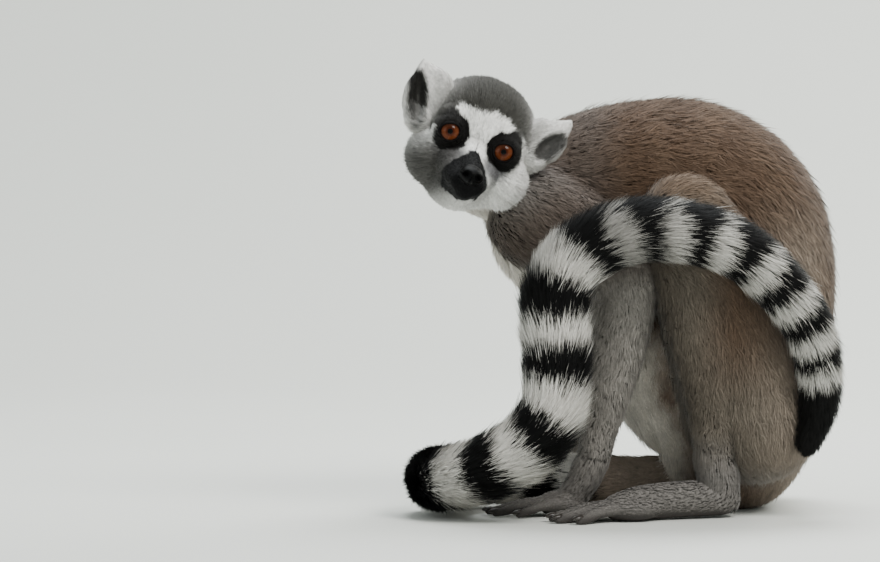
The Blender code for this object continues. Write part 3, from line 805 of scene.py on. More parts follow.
def leather_material(name, colour, roughness, pebble, depth, specular=0.2):
    """Bare black skin: fine pebbles, a damp shine on the nose and lids."""
    material, tree = new_material(name)
    place = node(tree, "ShaderNodeTexCoord")
    cells = node(tree, "ShaderNodeTexVoronoi", {"Scale": 1000.0 / pebble}, Vector=place.outputs["Object"])
    fine = node(tree, "ShaderNodeTexNoise", {"Scale": 2500.0, "Detail": 2.0}, Vector=place.outputs["Object"])
    high = node(tree, "ShaderNodeMath", {"operation": "ADD"})
    tree.links.new(cells.outputs["Distance"], high.inputs[0])
    tree.links.new(fine.outputs["Fac"], high.inputs[1])
    bump = node(tree, "ShaderNodeBump", {"Strength": 0.6, "Distance": depth * MM}, Height=high.outputs[0])
    tones = {"data_type": "RGBA", "A": (*colour, 1), "B": (*[c * 1.6 for c in colour], 1)}
    tone = node(tree, "ShaderNodeMix", tones, Factor=cells.outputs["Distance"]).outputs["Result"]
    skin = {"Roughness": roughness, "Specular IOR Level": specular}
    finish_material(tree, node(tree, "ShaderNodeBsdfPrincipled", skin, Base_Color=tone, Normal=bump.outputs[0]))
    return material


def eye_material():
    """Wet eye: the iris painted on the ball under a clear glossy cornea."""
    material, tree = new_material("wet_eye")
    colour = node(tree, "ShaderNodeAttribute", {"attribute_name": "coat"})
    wet = {
        "Roughness": 0.5,
        "Specular IOR Level": 0.0,
        "Coat Weight": 0.4,
        "Coat Roughness": 0.02,
        "Coat IOR": 1.36,
        "IOR": 1.34,
    }
    finish_material(tree, node(tree, "ShaderNodeBsdfPrincipled", wet, Base_Color=colour.outputs["Color"]))
    return material


def nail_material():
    """Dark horn: smooth, with growth lines 0.4 mm apart."""
    material, tree = new_material("dark_horn")
    place = node(tree, "ShaderNodeTexCoord")
    lines = node(tree, "ShaderNodeTexWave", {"Scale": 400.0, "Distortion": 2.0}, Vector=place.outputs["Object"])
    bump = node(tree, "ShaderNodeBump", {"Strength": 0.2, "Distance": 0.1 * MM}, Height=lines.outputs["Fac"])
    tones = {"data_type": "RGBA", "A": (*linear("#1d1916"), 1), "B": (*linear("#332c27"), 1)}
    tone = node(tree, "ShaderNodeMix", tones, Factor=lines.outputs["Fac"]).outputs["Result"]
    horn = {"Roughness": 0.35, "IOR": 1.54}
    finish_material(tree, node(tree, "ShaderNodeBsdfPrincipled", horn, Base_Color=tone, Normal=bump.outputs[0]))
    return material


def paper_material():
    """Matt studio paper: near-white, clouded over about 30 cm, with no shine to draw the eye."""
    material, tree = new_material("matt_studio_paper")
    place = node(tree, "ShaderNodeTexCoord")
    clouds = node(tree, "ShaderNodeTexNoise", {"Scale": 3.0, "Detail": 1.0}, Vector=place.outputs["Object"])
    tones = {"data_type": "RGBA", "A": (*linear("#d3d5cf"), 1), "B": (*linear("#dadbd6"), 1)}
    tone = node(tree, "ShaderNodeMix", tones, Factor=clouds.outputs["Fac"]).outputs["Result"]
    paper = {"Roughness": 0.9, "Specular IOR Level": 0.1}
    finish_material(tree, node(tree, "ShaderNodeBsdfPrincipled", paper, Base_Color=tone))
    return material


# ------------------------------------------------------------------ sizes and colours a user would change
def length(name, description, default):
    """A length, its default in millimetres."""
    return bpy.props.FloatProperty(
        name=name, description=description, default=default * MM, unit="LENGTH", precision=5
    )


def colour(name, description, code):
    """A colour, its default as an sRGB code."""
    return bpy.props.FloatVectorProperty(
        name=name, description=description, subtype="COLOR", size=3, min=0, max=1, default=linear(code)
    )


class LemurSizes(bpy.types.PropertyGroup):
    """Sizes of the skin's mesh and of the hairs."""

    skin_step: length("Skin step", "Spacing of the skin's mesh", 1.35)
    body_hair_width: length("Body hair width", "Width of a hair lock on the body at its root", 0.62)
    tail_hair_width: length("Tail hair width", "Width of a hair lock on the tail at its root", 0.55)
    head_hair_width: length("Head hair width", "Width of a hair lock on the crown at its root", 0.38)
    face_hair_width: length("Face hair width", "Width of a hair on the face at its root", 0.34)
    coat_amount: bpy.props.FloatProperty(
        name="Coat amount",
        description="Share of the full number of hairs",
        default=1.0,
        min=0.05,
        max=1.0,
        subtype="FACTOR",
    )


class LemurColours(bpy.types.PropertyGroup):
    """Colours of the coat, the bare skin and the eyes."""

    back: colour("Back", "Taupe-brown wool of the back and flanks", "#544132")
    back_light: colour("Back, light", "Paler, warmer patches of the back", "#655242")
    # the rump's grey hair, also painted paler low on the back as painted light
    rump_grey: colour("Rump", "Greyer hair low on the rump and at the tail's root", "#8e8174")
    shoulder: colour("Shoulder", "Dark grey-brown of the shoulder and upper arm", "#564b43")
    leg: colour("Leg", "Grey-brown of the shank", "#625a50")
    knee: colour("Knee", "Paler hair along the knee", "#665443")
    arm: colour("Arm", "Grey of the forearm", "#8b8680")
    hand: colour("Hand and foot", "Pale grey of hands and feet", "#726e6a")
    digit: colour("Digits", "Dark skin of the fingers and toes", "#3a3533")
    belly: colour("Belly", "Cream of the belly, throat and inner limbs", "#dcd6cc")
    # the neck's grey, also used for painted shade low on one cheek
    neck_grey: colour("Neck", "Grey that the cheeks turn to behind", "#6d6a68")
    # painted shade: darker grey for the lower cheek on one side, towards the throat
    jaw_grey: colour("Jaw", "Darker grey low on one cheek, towards the throat", "#32302d")
    crown: colour("Crown", "Slate-grey cap", "#353430")
    white_face: colour("Face", "White of the brow and cheeks", "#f4f3ef")
    under_eye: colour("Under the eyes", "Grey shade under each eye", "#57575a")
    eye_patch: colour("Eye patch", "Black round the eyes", "#0b0908")
    muzzle: colour("Muzzle", "Black of the muzzle", "#060607")
    ear: colour("Ear", "White hair of the ears", "#dedcd8")
    concha: colour("Ear, inside", "Dark skin inside the ear", "#21201e")
    ring_white: colour("Pale rings", "Pale rings of the tail", "#d4d1ca")
    tail_tip_grey: colour("Pale rings near the tip", "Greyer pale rings past the tail's arch", "#7a7873")
    ring_black: colour("Black rings", "Black rings of the tail", "#040404")
    iris: colour("Iris", "Amber of the iris", "#552a14")


def chosen_colours():
    """The colours as set in the panel, by name."""
    group = bpy.context.scene.lemur_colours
    return {key: np.array(getattr(group, key)[:]) for key in LemurColours.__annotations__}


# ------------------------------------------------------------------ skin
BODY = {}  # what the skin operator works out, for the coat operators that follow it


def opened_eyes(points):
    """Skin close to an eye's gaze sinks behind the eyeball's front, which leaves the eye's opening."""
    for side in HEAD_SIDES.values():
        away, far, turn = off_gaze(points, side)
        hole = (turn < EYE_OPENING) & (far < OPENING_REACH)
        sunk = eye_centre(side) + away * (SOCKET_RADIUS / np.maximum(far, 1e-6))[:, None]
        points = np.where(hole[:, None], sunk, points)
    return points


def edge_pairs(faces):
    """Each edge of the skin once, as two columns of vertices."""
    pairs = np.sort(np.vstack([faces[:, [0, 1]], faces[:, [1, 2]], faces[:, [2, 0]]]), axis=1)
    return np.unique(pairs, axis=0)


def evened(values, pairs, turns, share=0.5):
    """Values by vertex after some turns of moving a share of the way to the mean of the neighbours."""
    values = np.asarray(values, float)
    flat = values.reshape(len(values), -1).copy()
    count = np.bincount(pairs.ravel(), minlength=len(flat))
    share = np.broadcast_to(share, (len(flat),))
    for _ in range(turns):
        for k in range(flat.shape[1]):
            column = flat[:, k]
            total = np.bincount(pairs[:, 0], column[pairs[:, 1]], len(flat))
            total = total + np.bincount(pairs[:, 1], column[pairs[:, 0]], len(flat))
            flat[:, k] = column + share * (total / count - column)
    return flat.reshape(values.shape)


def hollowed_ears(points):
    """Skin inside an ear's hollow drops straight back onto the hollow's far wall."""
    for name in HEAD_SIDES:
        centre, radii, turn = ear_hollow(name)
        inside = (points - centre) @ turn
        flat = (inside[:, 0] / radii[0]) ** 2 + (inside[:, 2] / radii[2]) ** 2
        wall = -radii[1] * np.sqrt(np.clip(1 - flat, 0, 1))
        hole = (flat < 1) & (inside[:, 1] > wall) & (inside[:, 1] < 14)
        inside[:, 1] = np.where(hole, wall, inside[:, 1])
        points = np.where(hole[:, None], centre + inside @ turn.T, points)
    return points


class LEMUR_OT_skin(bpy.types.Operator):
    """One skin over all the flesh: every limb and ball is joined, remeshed as one and smoothed"""

    bl_idname = "lemur.skin"
    bl_label = "Skin"

    def execute(self, context):
        forms = body_forms()
        surfaces = [
            tube_surface(form["rows"])
            if form["kind"] == "tube"
            else ball_surface(form["centre"], form["radii"], form["turn"])
            for form in forms
        ]
        lump = add_object("skin_forms", mesh_of("skin_forms", *joined(surfaces)))
        remesh = lump.modifiers.new("Join", "REMESH")
        remesh.mode, remesh.voxel_size = "VOXEL", context.scene.lemur_sizes.skin_step
        soften = lump.modifiers.new("Soften", "SMOOTH")
        soften.factor, soften.iterations = 0.5, 5
        whole = bpy.data.meshes.new_from_object(lump.evaluated_get(context.evaluated_depsgraph_get()))
        bpy.data.objects.remove(lump)
        points, faces = read_points(whole), read_triangles(whole)
        if len(points) < 1000:
            raise RuntimeError("the skin did not form")
        pairs = edge_pairs(faces)
        field = in_chunks(body_field, points, forms)
        tail, head, ear = (field["share"][:, region] for region in (TAIL_R, HEAD_R, EAR_R))
        # deep coats lie over soft flesh: the skin is evened most there, and the creases between forms fill
        deep = ramp(field["depth"], 3.0, 7.0) * (1 - tail) * (1 - 0.5 * head)
        points = evened(points, pairs, 45, 0.5 * deep)
        points = hollowed_ears(opened_eyes(points))
        points[:, 2] = np.maximum(points[:, 2], FLOOR)
        mesh = mesh_of("skin", points, faces)
        normals = vertex_normals(points, faces)
        field["depth"] = evened(field["depth"], pairs, 6)
        # the lie of the hair turns gently from form to form, and stays in the skin's surface
        turning = 0.5 * (1 - np.maximum(ear, tail))
        for _ in range(9):
            way = evened(field["way"], pairs, 14, turning)
            field["way"] = unit(way - normals * (way * normals).sum(1, keepdims=True))
        # the skin takes the roots' colour, painted shade under the coat included
        _, root = markings(points, normals, field["share"], field["arc"], chosen_colours())
        paint(mesh, root)
        piece = add_piece("skin", mesh, skin_material())
        thin = piece.modifiers.new("Thin", "DECIMATE")
        thin.ratio = min(1.0, SKIN_TRIANGLES / len(faces))
        flesh = [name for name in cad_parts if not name.startswith(("eye_", "nose"))]
        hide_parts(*flesh)
        BODY.clear()
        BODY.update(field, points=points, normals=normals, faces=faces)
        return {"FINISHED"}


# ------------------------------------------------------------------ coat
LOCK_FACES = np.array([(0, 2, 1), (1, 3, 4), (3, 2, 4)])  # the stem and the two sides of the blade
LOCK_PATCH = 0.001 * np.array([(0, -1.5), (-1.5, -0.5), (1.5, -0.5), (0, -0.3), (0, 1.5)])


def near_clump(places, size, seed):
    """Which lock each hair belongs to: the nearest of one random spot per cell of a lattice of that size."""
    cell = np.floor(places / size).astype(np.int64)
    best, chosen = np.full(len(places), np.inf), np.zeros(len(places), np.int64)
    for shift in np.stack(np.meshgrid([-1, 0, 1], [-1, 0, 1], [-1, 0, 1]), -1).reshape(-1, 3):
        c = cell + shift
        key = (c[:, 0] * 73856093) ^ (c[:, 1] * 19349663) ^ (c[:, 2] * 83492791) ^ (seed * 2654435)
        spot = np.stack([((key * k) >> 7) % 1009 / 1009 for k in (40503, 65599, 104729)], 1)
        gap = np.linalg.norm((c + spot) * size - places, axis=1)
        closer = gap < best
        best, chosen = np.where(closer, gap, best), np.where(closer, key, chosen)
    return np.unique(chosen, return_inverse=True)[1].ravel()


def scatter(weight, count, seed):
    """Random places on the skin, as likely on a triangle as its area times weight; weight is by vertex."""
    rng = np.random.default_rng(seed)
    points, faces = BODY["points"], BODY["faces"]
    a, b, c = (points[faces[:, k]] for k in range(3))
    area = np.linalg.norm(np.cross(b - a, c - a), axis=1) * weight[faces].mean(1)
    total = np.cumsum(area)
    if total[-1] <= 0:
        raise RuntimeError("no skin for this coat piece")
    pick = np.searchsorted(total, rng.uniform(0, total[-1], count))
    u, v = rng.uniform(size=(2, count))
    u, v = np.where(u + v > 1, 1 - u, u), np.where(u + v > 1, 1 - v, v)
    share = np.stack([1 - u - v, u, v], 1)
    corners = faces[pick]

    def at(values):
        return np.einsum("nk,nk...->n...", share, values[corners])

    return {
        "place": at(points),
        "normal": unit(at(BODY["normals"])),
        "depth": at(BODY["depth"]),
        "way": at(BODY["way"]),
        "share": at(BODY["share"]),
        "arc": at(BODY["arc"]),
        "area": total[-1],
    }


def hairs(
    name,
    weight,
    count,
    seed,
    width,
    reach,
    *,
    material,
    slot,
    rise=(0.85, 1.05),
    clump=4.5,
    pull=0.3,
    bristle=0.12,
    swirl=0.0,
    stray=0.08,
    mottle=0.0,
    lift=0.8,
    under=0.3,
):
    """Tapering locks of hair over a part of the skin, laid over each other like thatch.

    A lock stands up from its root to its shoulder, at 0.22 of its reach and at the share called lift of its rise,
    and a ridged blade lies from there to its tip. Tips are drawn to their neighbours' by the share called pull.
    The share called under is underfur: broader locks that stop at 0.85 of the height and fill the gaps.
    Reach and rise are shares of the coat's depth; bristle and swirl turn locks at random and in drifts,
    stray is the share that stands up higher, and mottle darkens and lightens whole patches.
    """
    count = max(50, int(count * bpy.context.scene.lemur_sizes.coat_amount))
    rng = np.random.default_rng(seed)
    at = scatter(weight, count, seed)
    place, normal, depth = at["place"], at["normal"], at["depth"]
    across = np.cross(at["way"], normal)
    way = at["way"] + bristle * rng.normal(size=place.shape) + across * (swirl * wander(place, 13.0, 21))[:, None]
    way = unit(way - normal * (way * normal).sum(1, keepdims=True))
    high = depth * rng.uniform(*rise, count)
    high = high * np.where(rng.uniform(size=count) < stray, rng.uniform(1.05, 1.35, count), 1.0)
    long = depth * rng.uniform(reach[0], reach[1], count)
    woolly = rng.uniform(size=count) < under
    high = high * np.where(woolly, 0.85, 1.0)
    group = near_clump(place, clump, seed)
    size = np.bincount(group)
    tip = place + way * long[:, None] + normal * high[:, None]
    lean = np.stack([np.bincount(group, tip[:, i]) / size for i in range(3)], 1)[group] - tip
    across = np.cross(way, normal)
    roll = rng.normal(0, 0.3, count)[:, None]
    flat = unit(across * np.cos(roll) + normal * np.sin(roll))
    along, rising = way * long[:, None], normal * high[:, None]
    broad = (0.5 * width * rng.uniform(0.75, 1.25, count) * np.where(woolly, 2.0, 1.0))[:, None]
    shoulder = place + along * 0.22 + rising * lift + lean * (pull * 0.3)
    end = place + along + rising + lean * pull
    outward = unit(np.cross(flat, end - shoulder))
    # five points: the root, the shoulder's two edges and its ridge, and the tip
    ridge = shoulder + outward * broad * 0.45
    points = np.stack([place - normal * 0.3, shoulder - flat * broad, shoulder + flat * broad, ridge, end], 1)
    points[..., 2] = np.maximum(points[..., 2], FLOOR)
    faces = (np.arange(count)[:, None, None] * 5 + LOCK_FACES[None]).reshape(-1, 3)
    mesh = mesh_of(name, points.reshape(-1, 3), faces)
    # a lock takes the marking of the place that it covers, part of the way along it
    shown = place + way * (long * np.where(at["share"][:, HEAD_R] > 0.5, 0.7, 0.35))[:, None]
    tips, roots = markings(shown, normal, at["share"], at["arc"] + rng.normal(0, 1.8, count), chosen_colours())
    # each lock and each clump is a little lighter or darker
    vary = rng.uniform(0.91, 1.09, count) * (1 + 0.06 * np.sin(group * 1.7)) * (1 + mottle * wander(place, 5.5, 31))
    # from the darker root to the tip: partly underfur, partly painted shade deep in the coat
    level = np.array([0.0, 0.3, 0.3, 0.3, 1.0])[None, :, None]
    colours = (roots[:, None] + (tips - roots)[:, None] * ramp(level, 0.0, 0.6)) * vary[:, None, None]
    paint(mesh, np.clip(colours, 0, 1).reshape(-1, 3))
    # soft shading: each lock's normals lean to the skin's, rounded over its width
    round_over = np.array([0.0, -0.35, 0.35, 0.0, 0.0])[None, :, None] * flat[:, None]
    out = unit(normal[:, None] + round_over + rng.normal(0, 0.1, (count, 1, 3)))
    corners = out[:, LOCK_FACES]
    # the stem under the shoulder is shaded from the root's side, so that its far side isn't black
    corners[:, 0] = unit(0.45 * normal - way)[:, None]
    mesh.normals_split_custom_set(corners.reshape(-1, 3).astype(np.float32))
    # each lock is a patch 0.003 across at its root's place on an unwrap of the skin
    spot = unwrapped(place, at)
    patch = spot[:, None] + LOCK_PATCH[None]
    layer = mesh.uv_layers.new(name="OFBake")
    layer.data.foreach_set("uv", patch.reshape(-1, 2)[faces.ravel()].astype(np.float32).ravel())
    piece = add_piece(name, mesh, material)
    print(f"{name}: {count} locks, {len(faces)} triangles, {count / at['area']:.2f} per square mm")
    return piece


def unwrapped(place, at):
    """Where each root lies on an unwrap of the skin: rolled out round the middle of its part, spread to the square."""
    region = at["share"].argmax(1)
    spot = np.zeros((len(place), 2))
    x, y, z = place.T
    for r in np.unique(region):
        m = region == r
        if r == TAIL_R:
            rows, along = tail_rows()
            middle = np.stack([np.interp(at["arc"][m], along, rows[:, i]) for i in range(3)], 1)
            u, w = path_frames(rows[:, :3])
            row = np.clip(np.searchsorted(along, at["arc"][m]), 0, len(along) - 1)
            off = place[m] - middle
            spot[m] = np.stack([np.arctan2((off * w[row]).sum(1), (off * u[row]).sum(1)), at["arc"][m]], 1)
        elif r in (HEAD_R, EAR_R):
            local = in_head(place[m]) + np.array([0, 14.0, 0])
            turn = np.arctan2(np.hypot(local[:, 0], local[:, 2]), local[:, 1])
            around = np.arctan2(local[:, 2], local[:, 0])
            spot[m] = np.stack([turn * np.cos(around), turn * np.sin(around)], 1)
        elif r == TRUNK_R:
            around = np.arctan2(z[m] - 110, x[m] + 45)
            spot[m] = np.stack([y[m] / 60 + 0.3 * np.sign(y[m]), around], 1)
        else:
            around = np.arctan2(y[m] - np.sign(y[m]) * 58, x[m] + 50)
            spot[m] = np.stack([around, z[m] / 60], 1)
    cells = np.unique(region)
    for i, r in enumerate(cells):
        m = region == r
        low, high = spot[m].min(0), spot[m].max(0)
        scaled = (spot[m] - low) / np.maximum(high - low, 1e-6)
        spot[m] = np.stack([0.01 + 0.98 * (i + scaled[:, 0] * 0.96) / len(cells), 0.01 + 0.98 * scaled[:, 1]], 1)
    return spot


def face_weight():
    """1 on the head's skin but where the lids and the nose are, which stay bare."""
    weight = region_weight(HEAD_R)
    for side in HEAD_SIDES.values():
        _, far, turn = off_gaze(BODY["points"], side)
        weight = np.where((turn < HAIRLESS_ANGLE) & (far < HAIRLESS_REACH), 0.0, weight)
    nose = np.linalg.norm((in_head(BODY["points"]) - np.array(NOSE_CENTRE)) / np.array(NOSE_BARE), axis=1)
    return np.where(nose < 1.0, 0.0, weight)


def region_weight(*regions):
    """1 on the skin that belongs mostly to these regions, and 0 elsewhere."""
    share = BODY["share"][:, list(regions)].sum(1)
    return np.where(share > 0.5, 1.0, 0.0)


def half_weight(side, *regions):
    """The same on one side of the body."""
    return region_weight(*regions) * (BODY["points"][:, 1] * side >= 0)


class LEMUR_OT_body_coat(bpy.types.Operator):
    """Woolly coat of the trunk and neck: fine locks drawn into clumps about 3 mm across, down the back and flanks"""

    bl_idname = "lemur.body_coat"
    bl_label = "Body coat"

    def execute(self, context):
        wool = coat_material("lemur_wool")
        width = context.scene.lemur_sizes.body_hair_width / MM
        lie = {"rise": (0.92, 1.06), "clump": 3.2, "pull": 0.2, "swirl": 0.4, "bristle": 0.22, "stray": 0.06}
        look = {"mottle": 0.13, "material": wool, "slot": "back"}
        for i, (name, side) in enumerate(SIDES.items()):
            weight = half_weight(side, TRUNK_R)
            hairs("coat_body_" + name, weight, 58000, 100 + i, width, (0.7, 1.1), **lie, **look)
        return {"FINISHED"}


class LEMUR_OT_limb_coat(bpy.types.Operator):
    """Shorter woolly coat of the legs and arms"""

    bl_idname = "lemur.limb_coat"
    bl_label = "Limb coat"

    def execute(self, context):
        wool = coat_material("lemur_limb_wool")
        width = context.scene.lemur_sizes.body_hair_width / MM
        lie = {"rise": (0.9, 1.02), "clump": 3.4, "swirl": 0.3, "mottle": 0.12, "material": wool, "slot": "limb"}
        down = {"clump": 2.5, "pull": 0.4, "material": wool, "slot": "hand"}
        off_ground = ramp(BODY["points"][:, 2], 4, 9)
        for i, (name, side) in enumerate(SIDES.items()):
            leg, arm = half_weight(side, LEG_R), half_weight(side, ARM_R)
            hairs("coat_leg_" + name, leg, 42000, 110 + i, width, (0.75, 1.2), pull=0.2, bristle=0.26, **lie)
            hairs("coat_arm_" + name, arm, 24000, 120 + i, width, (0.75, 1.2), pull=0.22, bristle=0.24, **lie)
            weight = half_weight(side, FOOT_R, HAND_R) * off_ground
            hairs("coat_hand_foot_" + name, weight, 12000, 130 + i, 0.45, (1.6, 2.6), **down)
        return {"FINISHED"}


class LEMUR_OT_tail_coat(bpy.types.Operator):
    """Long hair of the tail, standing out and pointing to the tip, so that each ring ends in a fringe"""

    bl_idname = "lemur.tail_coat"
    bl_label = "Tail coat"

    def execute(self, context):
        hair = coat_material("lemur_tail_hair", roughness=0.6, sheen=0.03, specular=0.1)
        width = context.scene.lemur_sizes.tail_hair_width / MM
        first = BODY["arc"] < 300.0
        lie = {"rise": (0.7, 1.0), "clump": 5.0, "pull": 0.3, "lift": 0.6, "bristle": 0.14}
        for i, (name, part) in enumerate((("root", first), ("tip", ~first))):
            weight = region_weight(TAIL_R) * part
            hairs("coat_tail_" + name, weight, 56000, 140 + i, width, (0.95, 1.5), **lie, material=hair, slot="tail")
        return {"FINISHED"}


class LEMUR_OT_head_coat(bpy.types.Operator):
    """Dense short coat of the head: crown and cheeks, the face and the ears"""

    bl_idname = "lemur.head_coat"
    bl_label = "Head coat"

    def execute(self, context):
        hair = coat_material("lemur_face_hair", roughness=0.7, sheen=0.03, specular=0.1)
        sizes, depth = context.scene.lemur_sizes, BODY["depth"]
        look = {"material": hair, "slot": "head"}
        crown = face_weight() * ramp(depth, 2.0, 3.6)
        lie = {"rise": (0.95, 1.15), "clump": 3.0, "pull": 0.25, "stray": 0.12, "mottle": 0.05}
        hairs("coat_crown", crown, 36000, 150, sizes.head_hair_width / MM, (1.0, 1.6), **lie, **look)
        face = face_weight() * (1 - ramp(depth, 2.6, 4.6) * 0.8)
        face = face * np.where(in_head(BODY["points"])[:, 1] > -34, 1.0, 0.0)
        lie = {"rise": (0.5, 0.9), "clump": 1.8, "pull": 0.3}
        hairs("coat_face", face, 52000, 151, sizes.face_hair_width / MM, (1.1, 1.8), **lie, **look)
        lie = {"rise": (0.6, 1.2), "clump": 2.4, "pull": 0.35}
        hairs("coat_ears", region_weight(EAR_R), 22000, 152, 0.36, (1.5, 2.6), **lie, material=hair, slot="ear")
        return {"FINISHED"}


# ------------------------------------------------------------------ eyes, nose, nails
def turned_to(way):
    """Axes whose third column is that way."""
    way = unit(np.asarray(way, float))
    side = unit(np.cross((0.0, 0.0, 1.0), way))
    return np.column_stack([side, np.cross(way, side), way])


def round_gaze(far, turn, around):
    """p = far (sin turn cos around, sin turn sin around, cos turn), with the gaze along the third axis."""
    flat = far * np.sin(turn)
    return np.stack([flat * np.cos(around), flat * np.sin(around), far * np.cos(turn) + 0 * around], -1).reshape(-1, 3)


def eyeball_shape(rings=90, spokes=128):
    """The ball with its cornea, whose radius at angle q off the gaze is the eye's and 0.55 exp(-(q / 34)^4) more.

    Gives the points, the faces, and each point's angle off the gaze and round it.
    """
    front = rings * 2 // 3
    off = np.append(np.linspace(0.5, 44, front), np.linspace(46, 178, rings - front))[:, None]
    around = np.linspace(0, 2 * np.pi, spokes, endpoint=False)[None]
    far = EYE_RADIUS + 0.55 * np.exp(-((off / 34) ** 4))
    points = np.vstack([round_gaze(far, np.radians(off), around), [[0, 0, far[0, 0]], [0, 0, -EYE_RADIUS]]])
    faces = np.vstack([grid_faces(rings, spokes), pole_faces(rings, spokes)])
    off_all = np.append((off + 0 * around).ravel(), [0, 180])
    return points, faces[:, ::-1], off_all, np.append((around + 0 * off).ravel(), [0, 0])


def eyeball_marking(off, around, iris):
    """Black pupil, iris of fine spokes that darkens to its rims, with the upper lid's shadow painted over its upper
    part, and dark white.
    """
    fibre = 0.5 + 0.2 * np.sin(23 * around + 2 * np.sin(5 * around))
    fibre = fibre + 0.18 * np.sin(57 * around + off * 0.15) + 0.12 * np.sin(91 * around - off * 0.2)
    tint = iris[None] * (0.65 + 0.7 * fibre)[:, None]
    tint = blend(tint, iris * np.array([0.45, 0.32, 0.22]), 1 - ramp(off, 13, 21))
    # painted shadow of the upper lid: the iris darkens from its middle upwards
    tint = tint * (1 - 0.72 * ramp(np.sin(around) * off, 0, 26))[:, None]
    tint = blend(tint, iris * 0.12, ramp(off, 29, 37))
    tint = blend(tint, np.array(linear("#120c09")), ramp(off, 38, 42))
    tint = blend(tint, np.array(linear("#040303")), 1 - ramp(off, 9.0, 10.8))
    return np.clip(tint, 0, 1)


# across the lids from the eye to the skin: degrees outside the opening, and height over the eyeball
LID_PROFILE = [
    (3.0, -0.5),
    (0.4, 0.15),
    (-0.4, 0.5),
    (0.6, 0.75),
    (2.2, 0.85),
    (4.0, 0.85),
    (6.5, 0.75),
    (9.5, 0.55),
    (13, 0.1),
    (18, -1.4),
]


def lid_rim(spokes=72):
    """A rounded rim round the eye's opening, heavier above, whose skirt sinks into the skin.

    At the angle b round the gaze the opening is 38 + 1.5 cos 2b degrees wide, less 8 (sin b)^1.5 above.
    """
    around = np.linspace(0, 2 * np.pi, spokes, endpoint=False)[None]
    upper = np.maximum(np.sin(around), 0)
    opening = 38.0 + 1.5 * np.cos(2 * around) - 8.0 * upper**1.5
    outside, height = (np.array(column)[:, None] for column in zip(*LID_PROFILE))
    turn = np.radians(opening + outside * (1 + 0.45 * upper))
    points = round_gaze(EYE_RADIUS + height + 0 * around, turn, around)
    return points, grid_faces(len(LID_PROFILE), spokes)[:, ::-1]


class LEMUR_OT_eyes(bpy.types.Operator):
    """Eyeballs with amber irises, and the black lids that hold them"""

    bl_idname = "lemur.eyes"
    bl_label = "Eyes"

    def execute(self, context):
        wet = eye_material()
        lid = leather_material("black_lid_skin", linear("#060505"), 0.75, 0.5, 0.12, specular=0.08)
        axes = turned_to(GAZE)
        shape, faces, off, around = eyeball_shape()
        tint = eyeball_marking(off, around, chosen_colours()["iris"])
        rim, rim_faces = lid_rim()
        for name, side in HEAD_SIDES.items():
            centre = eye_centre(side)
            mesh = mesh_of("eyeball_" + name, centre + shape @ axes.T, faces)
            paint(mesh, tint)
            ball = add_piece("eyeball_" + name, mesh, wet)
            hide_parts("eye_" + name)
            lids = mesh_of("eyelids_" + name, centre + rim @ axes.T, rim_faces)
            add_piece("eyelids_" + name, lids, lid)
        return {"FINISHED"}


def nose_shape(rings=70, spokes=128):
    """A ball (sin q cos a, cos q, sin q sin a) 14 mm wide, drawn back above and dented on its front.

    With s to the side and u up, each dent or swelling is a height times exp(-(s off its middle / its width)^2
    - (u off its middle / its height)^2): a pit and a comma for each nostril, the groove below, and the wings.
    """
    turn = np.linspace(0, np.pi, rings + 2)[1:-1, None]
    around = np.linspace(0, 2 * np.pi, spokes, endpoint=False)[None]
    ball = [np.sin(turn) * np.cos(around), np.cos(turn) + 0 * around, np.sin(turn) * np.sin(around)]
    ball = np.vstack([np.stack(ball, -1).reshape(-1, 3), [[0, 1, 0.0], [0, -1, 0.0]]])
    shape = ball * np.array([7.0, 7.6, 5.6])
    s, u = np.abs(shape[:, 0]), shape[:, 2].copy()
    shape[:, 1] -= 0.06 * np.maximum(u, 0) ** 2
    front = ramp(ball[:, 1], 0.0, 0.35)
    pit = np.exp(-(((s - 3.3) / 1.25) ** 2) - ((u + 0.2) / 1.15) ** 2)
    comma = np.exp(-(((s - 5.0) / 1.5) ** 2) - ((u + 0.9 - 0.25 * (s - 4)) / 0.6) ** 2)
    groove = np.exp(-((s / 0.55) ** 2)) * ramp(-u, -1.0, 1.5)
    wing = np.exp(-(((s - 5.2) / 1.2) ** 2) - ((u - 0.6) / 1.4) ** 2)
    shape[:, 1] += front * (0.5 * wing - 3.0 * pit - 1.6 * comma - 0.8 * groove)
    return shape, np.vstack([grid_faces(rings, spokes), pole_faces(rings, spokes)])


class LEMUR_OT_nose(bpy.types.Operator):
    """Bare black nose with two comma nostrils and a groove below"""

    bl_idname = "lemur.nose"
    bl_label = "Nose"

    def execute(self, context):
        shape, faces = nose_shape()
        points = head_point(shape + np.array([0, 37.6, -18.6]))
        leather = leather_material("damp_nose_leather", linear("#030303"), 0.42, 0.45, 0.12, specular=0.05)
        mesh = mesh_of("nose_leather", points, faces)
        piece = add_piece("nose_leather", mesh, leather)
        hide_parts("nose")
        return {"FINISHED"}


class LEMUR_OT_nails(bpy.types.Operator):
    """A domed nail on each finger and toe"""

    bl_idname = "lemur.nails"
    bl_label = "Nails"

    def execute(self, context):
        surfaces = []
        for name, side in SIDES.items():
            for shift, digits in ((FOOT_SHIFTS[name], [*TOES, BIG_TOE]), (HAND_SHIFTS[name], [*FINGERS, THUMB])):
                for digit in digits:
                    *_, before, tip = (np.array(place) for place, _, _ in digit_stations(digit, side, shift))
                    across, above, way = turned_to(tip - before).T
                    radius = digit[3]
                    # a flat ball let into the top of the digit's end
                    centre = tip + above * radius * 0.42 + way * 0.6
                    radii = radius * np.array([0.55, 0.85, 0.34])
                    surfaces.append(ball_surface(centre, radii, np.column_stack([across, way, above]), 10, 16))
        points, faces = joined(surfaces)
        points[:, 2] = np.maximum(points[:, 2], FLOOR)
        add_piece("nails", mesh_of("nails", points, faces), nail_material())
        return {"FINISHED"}


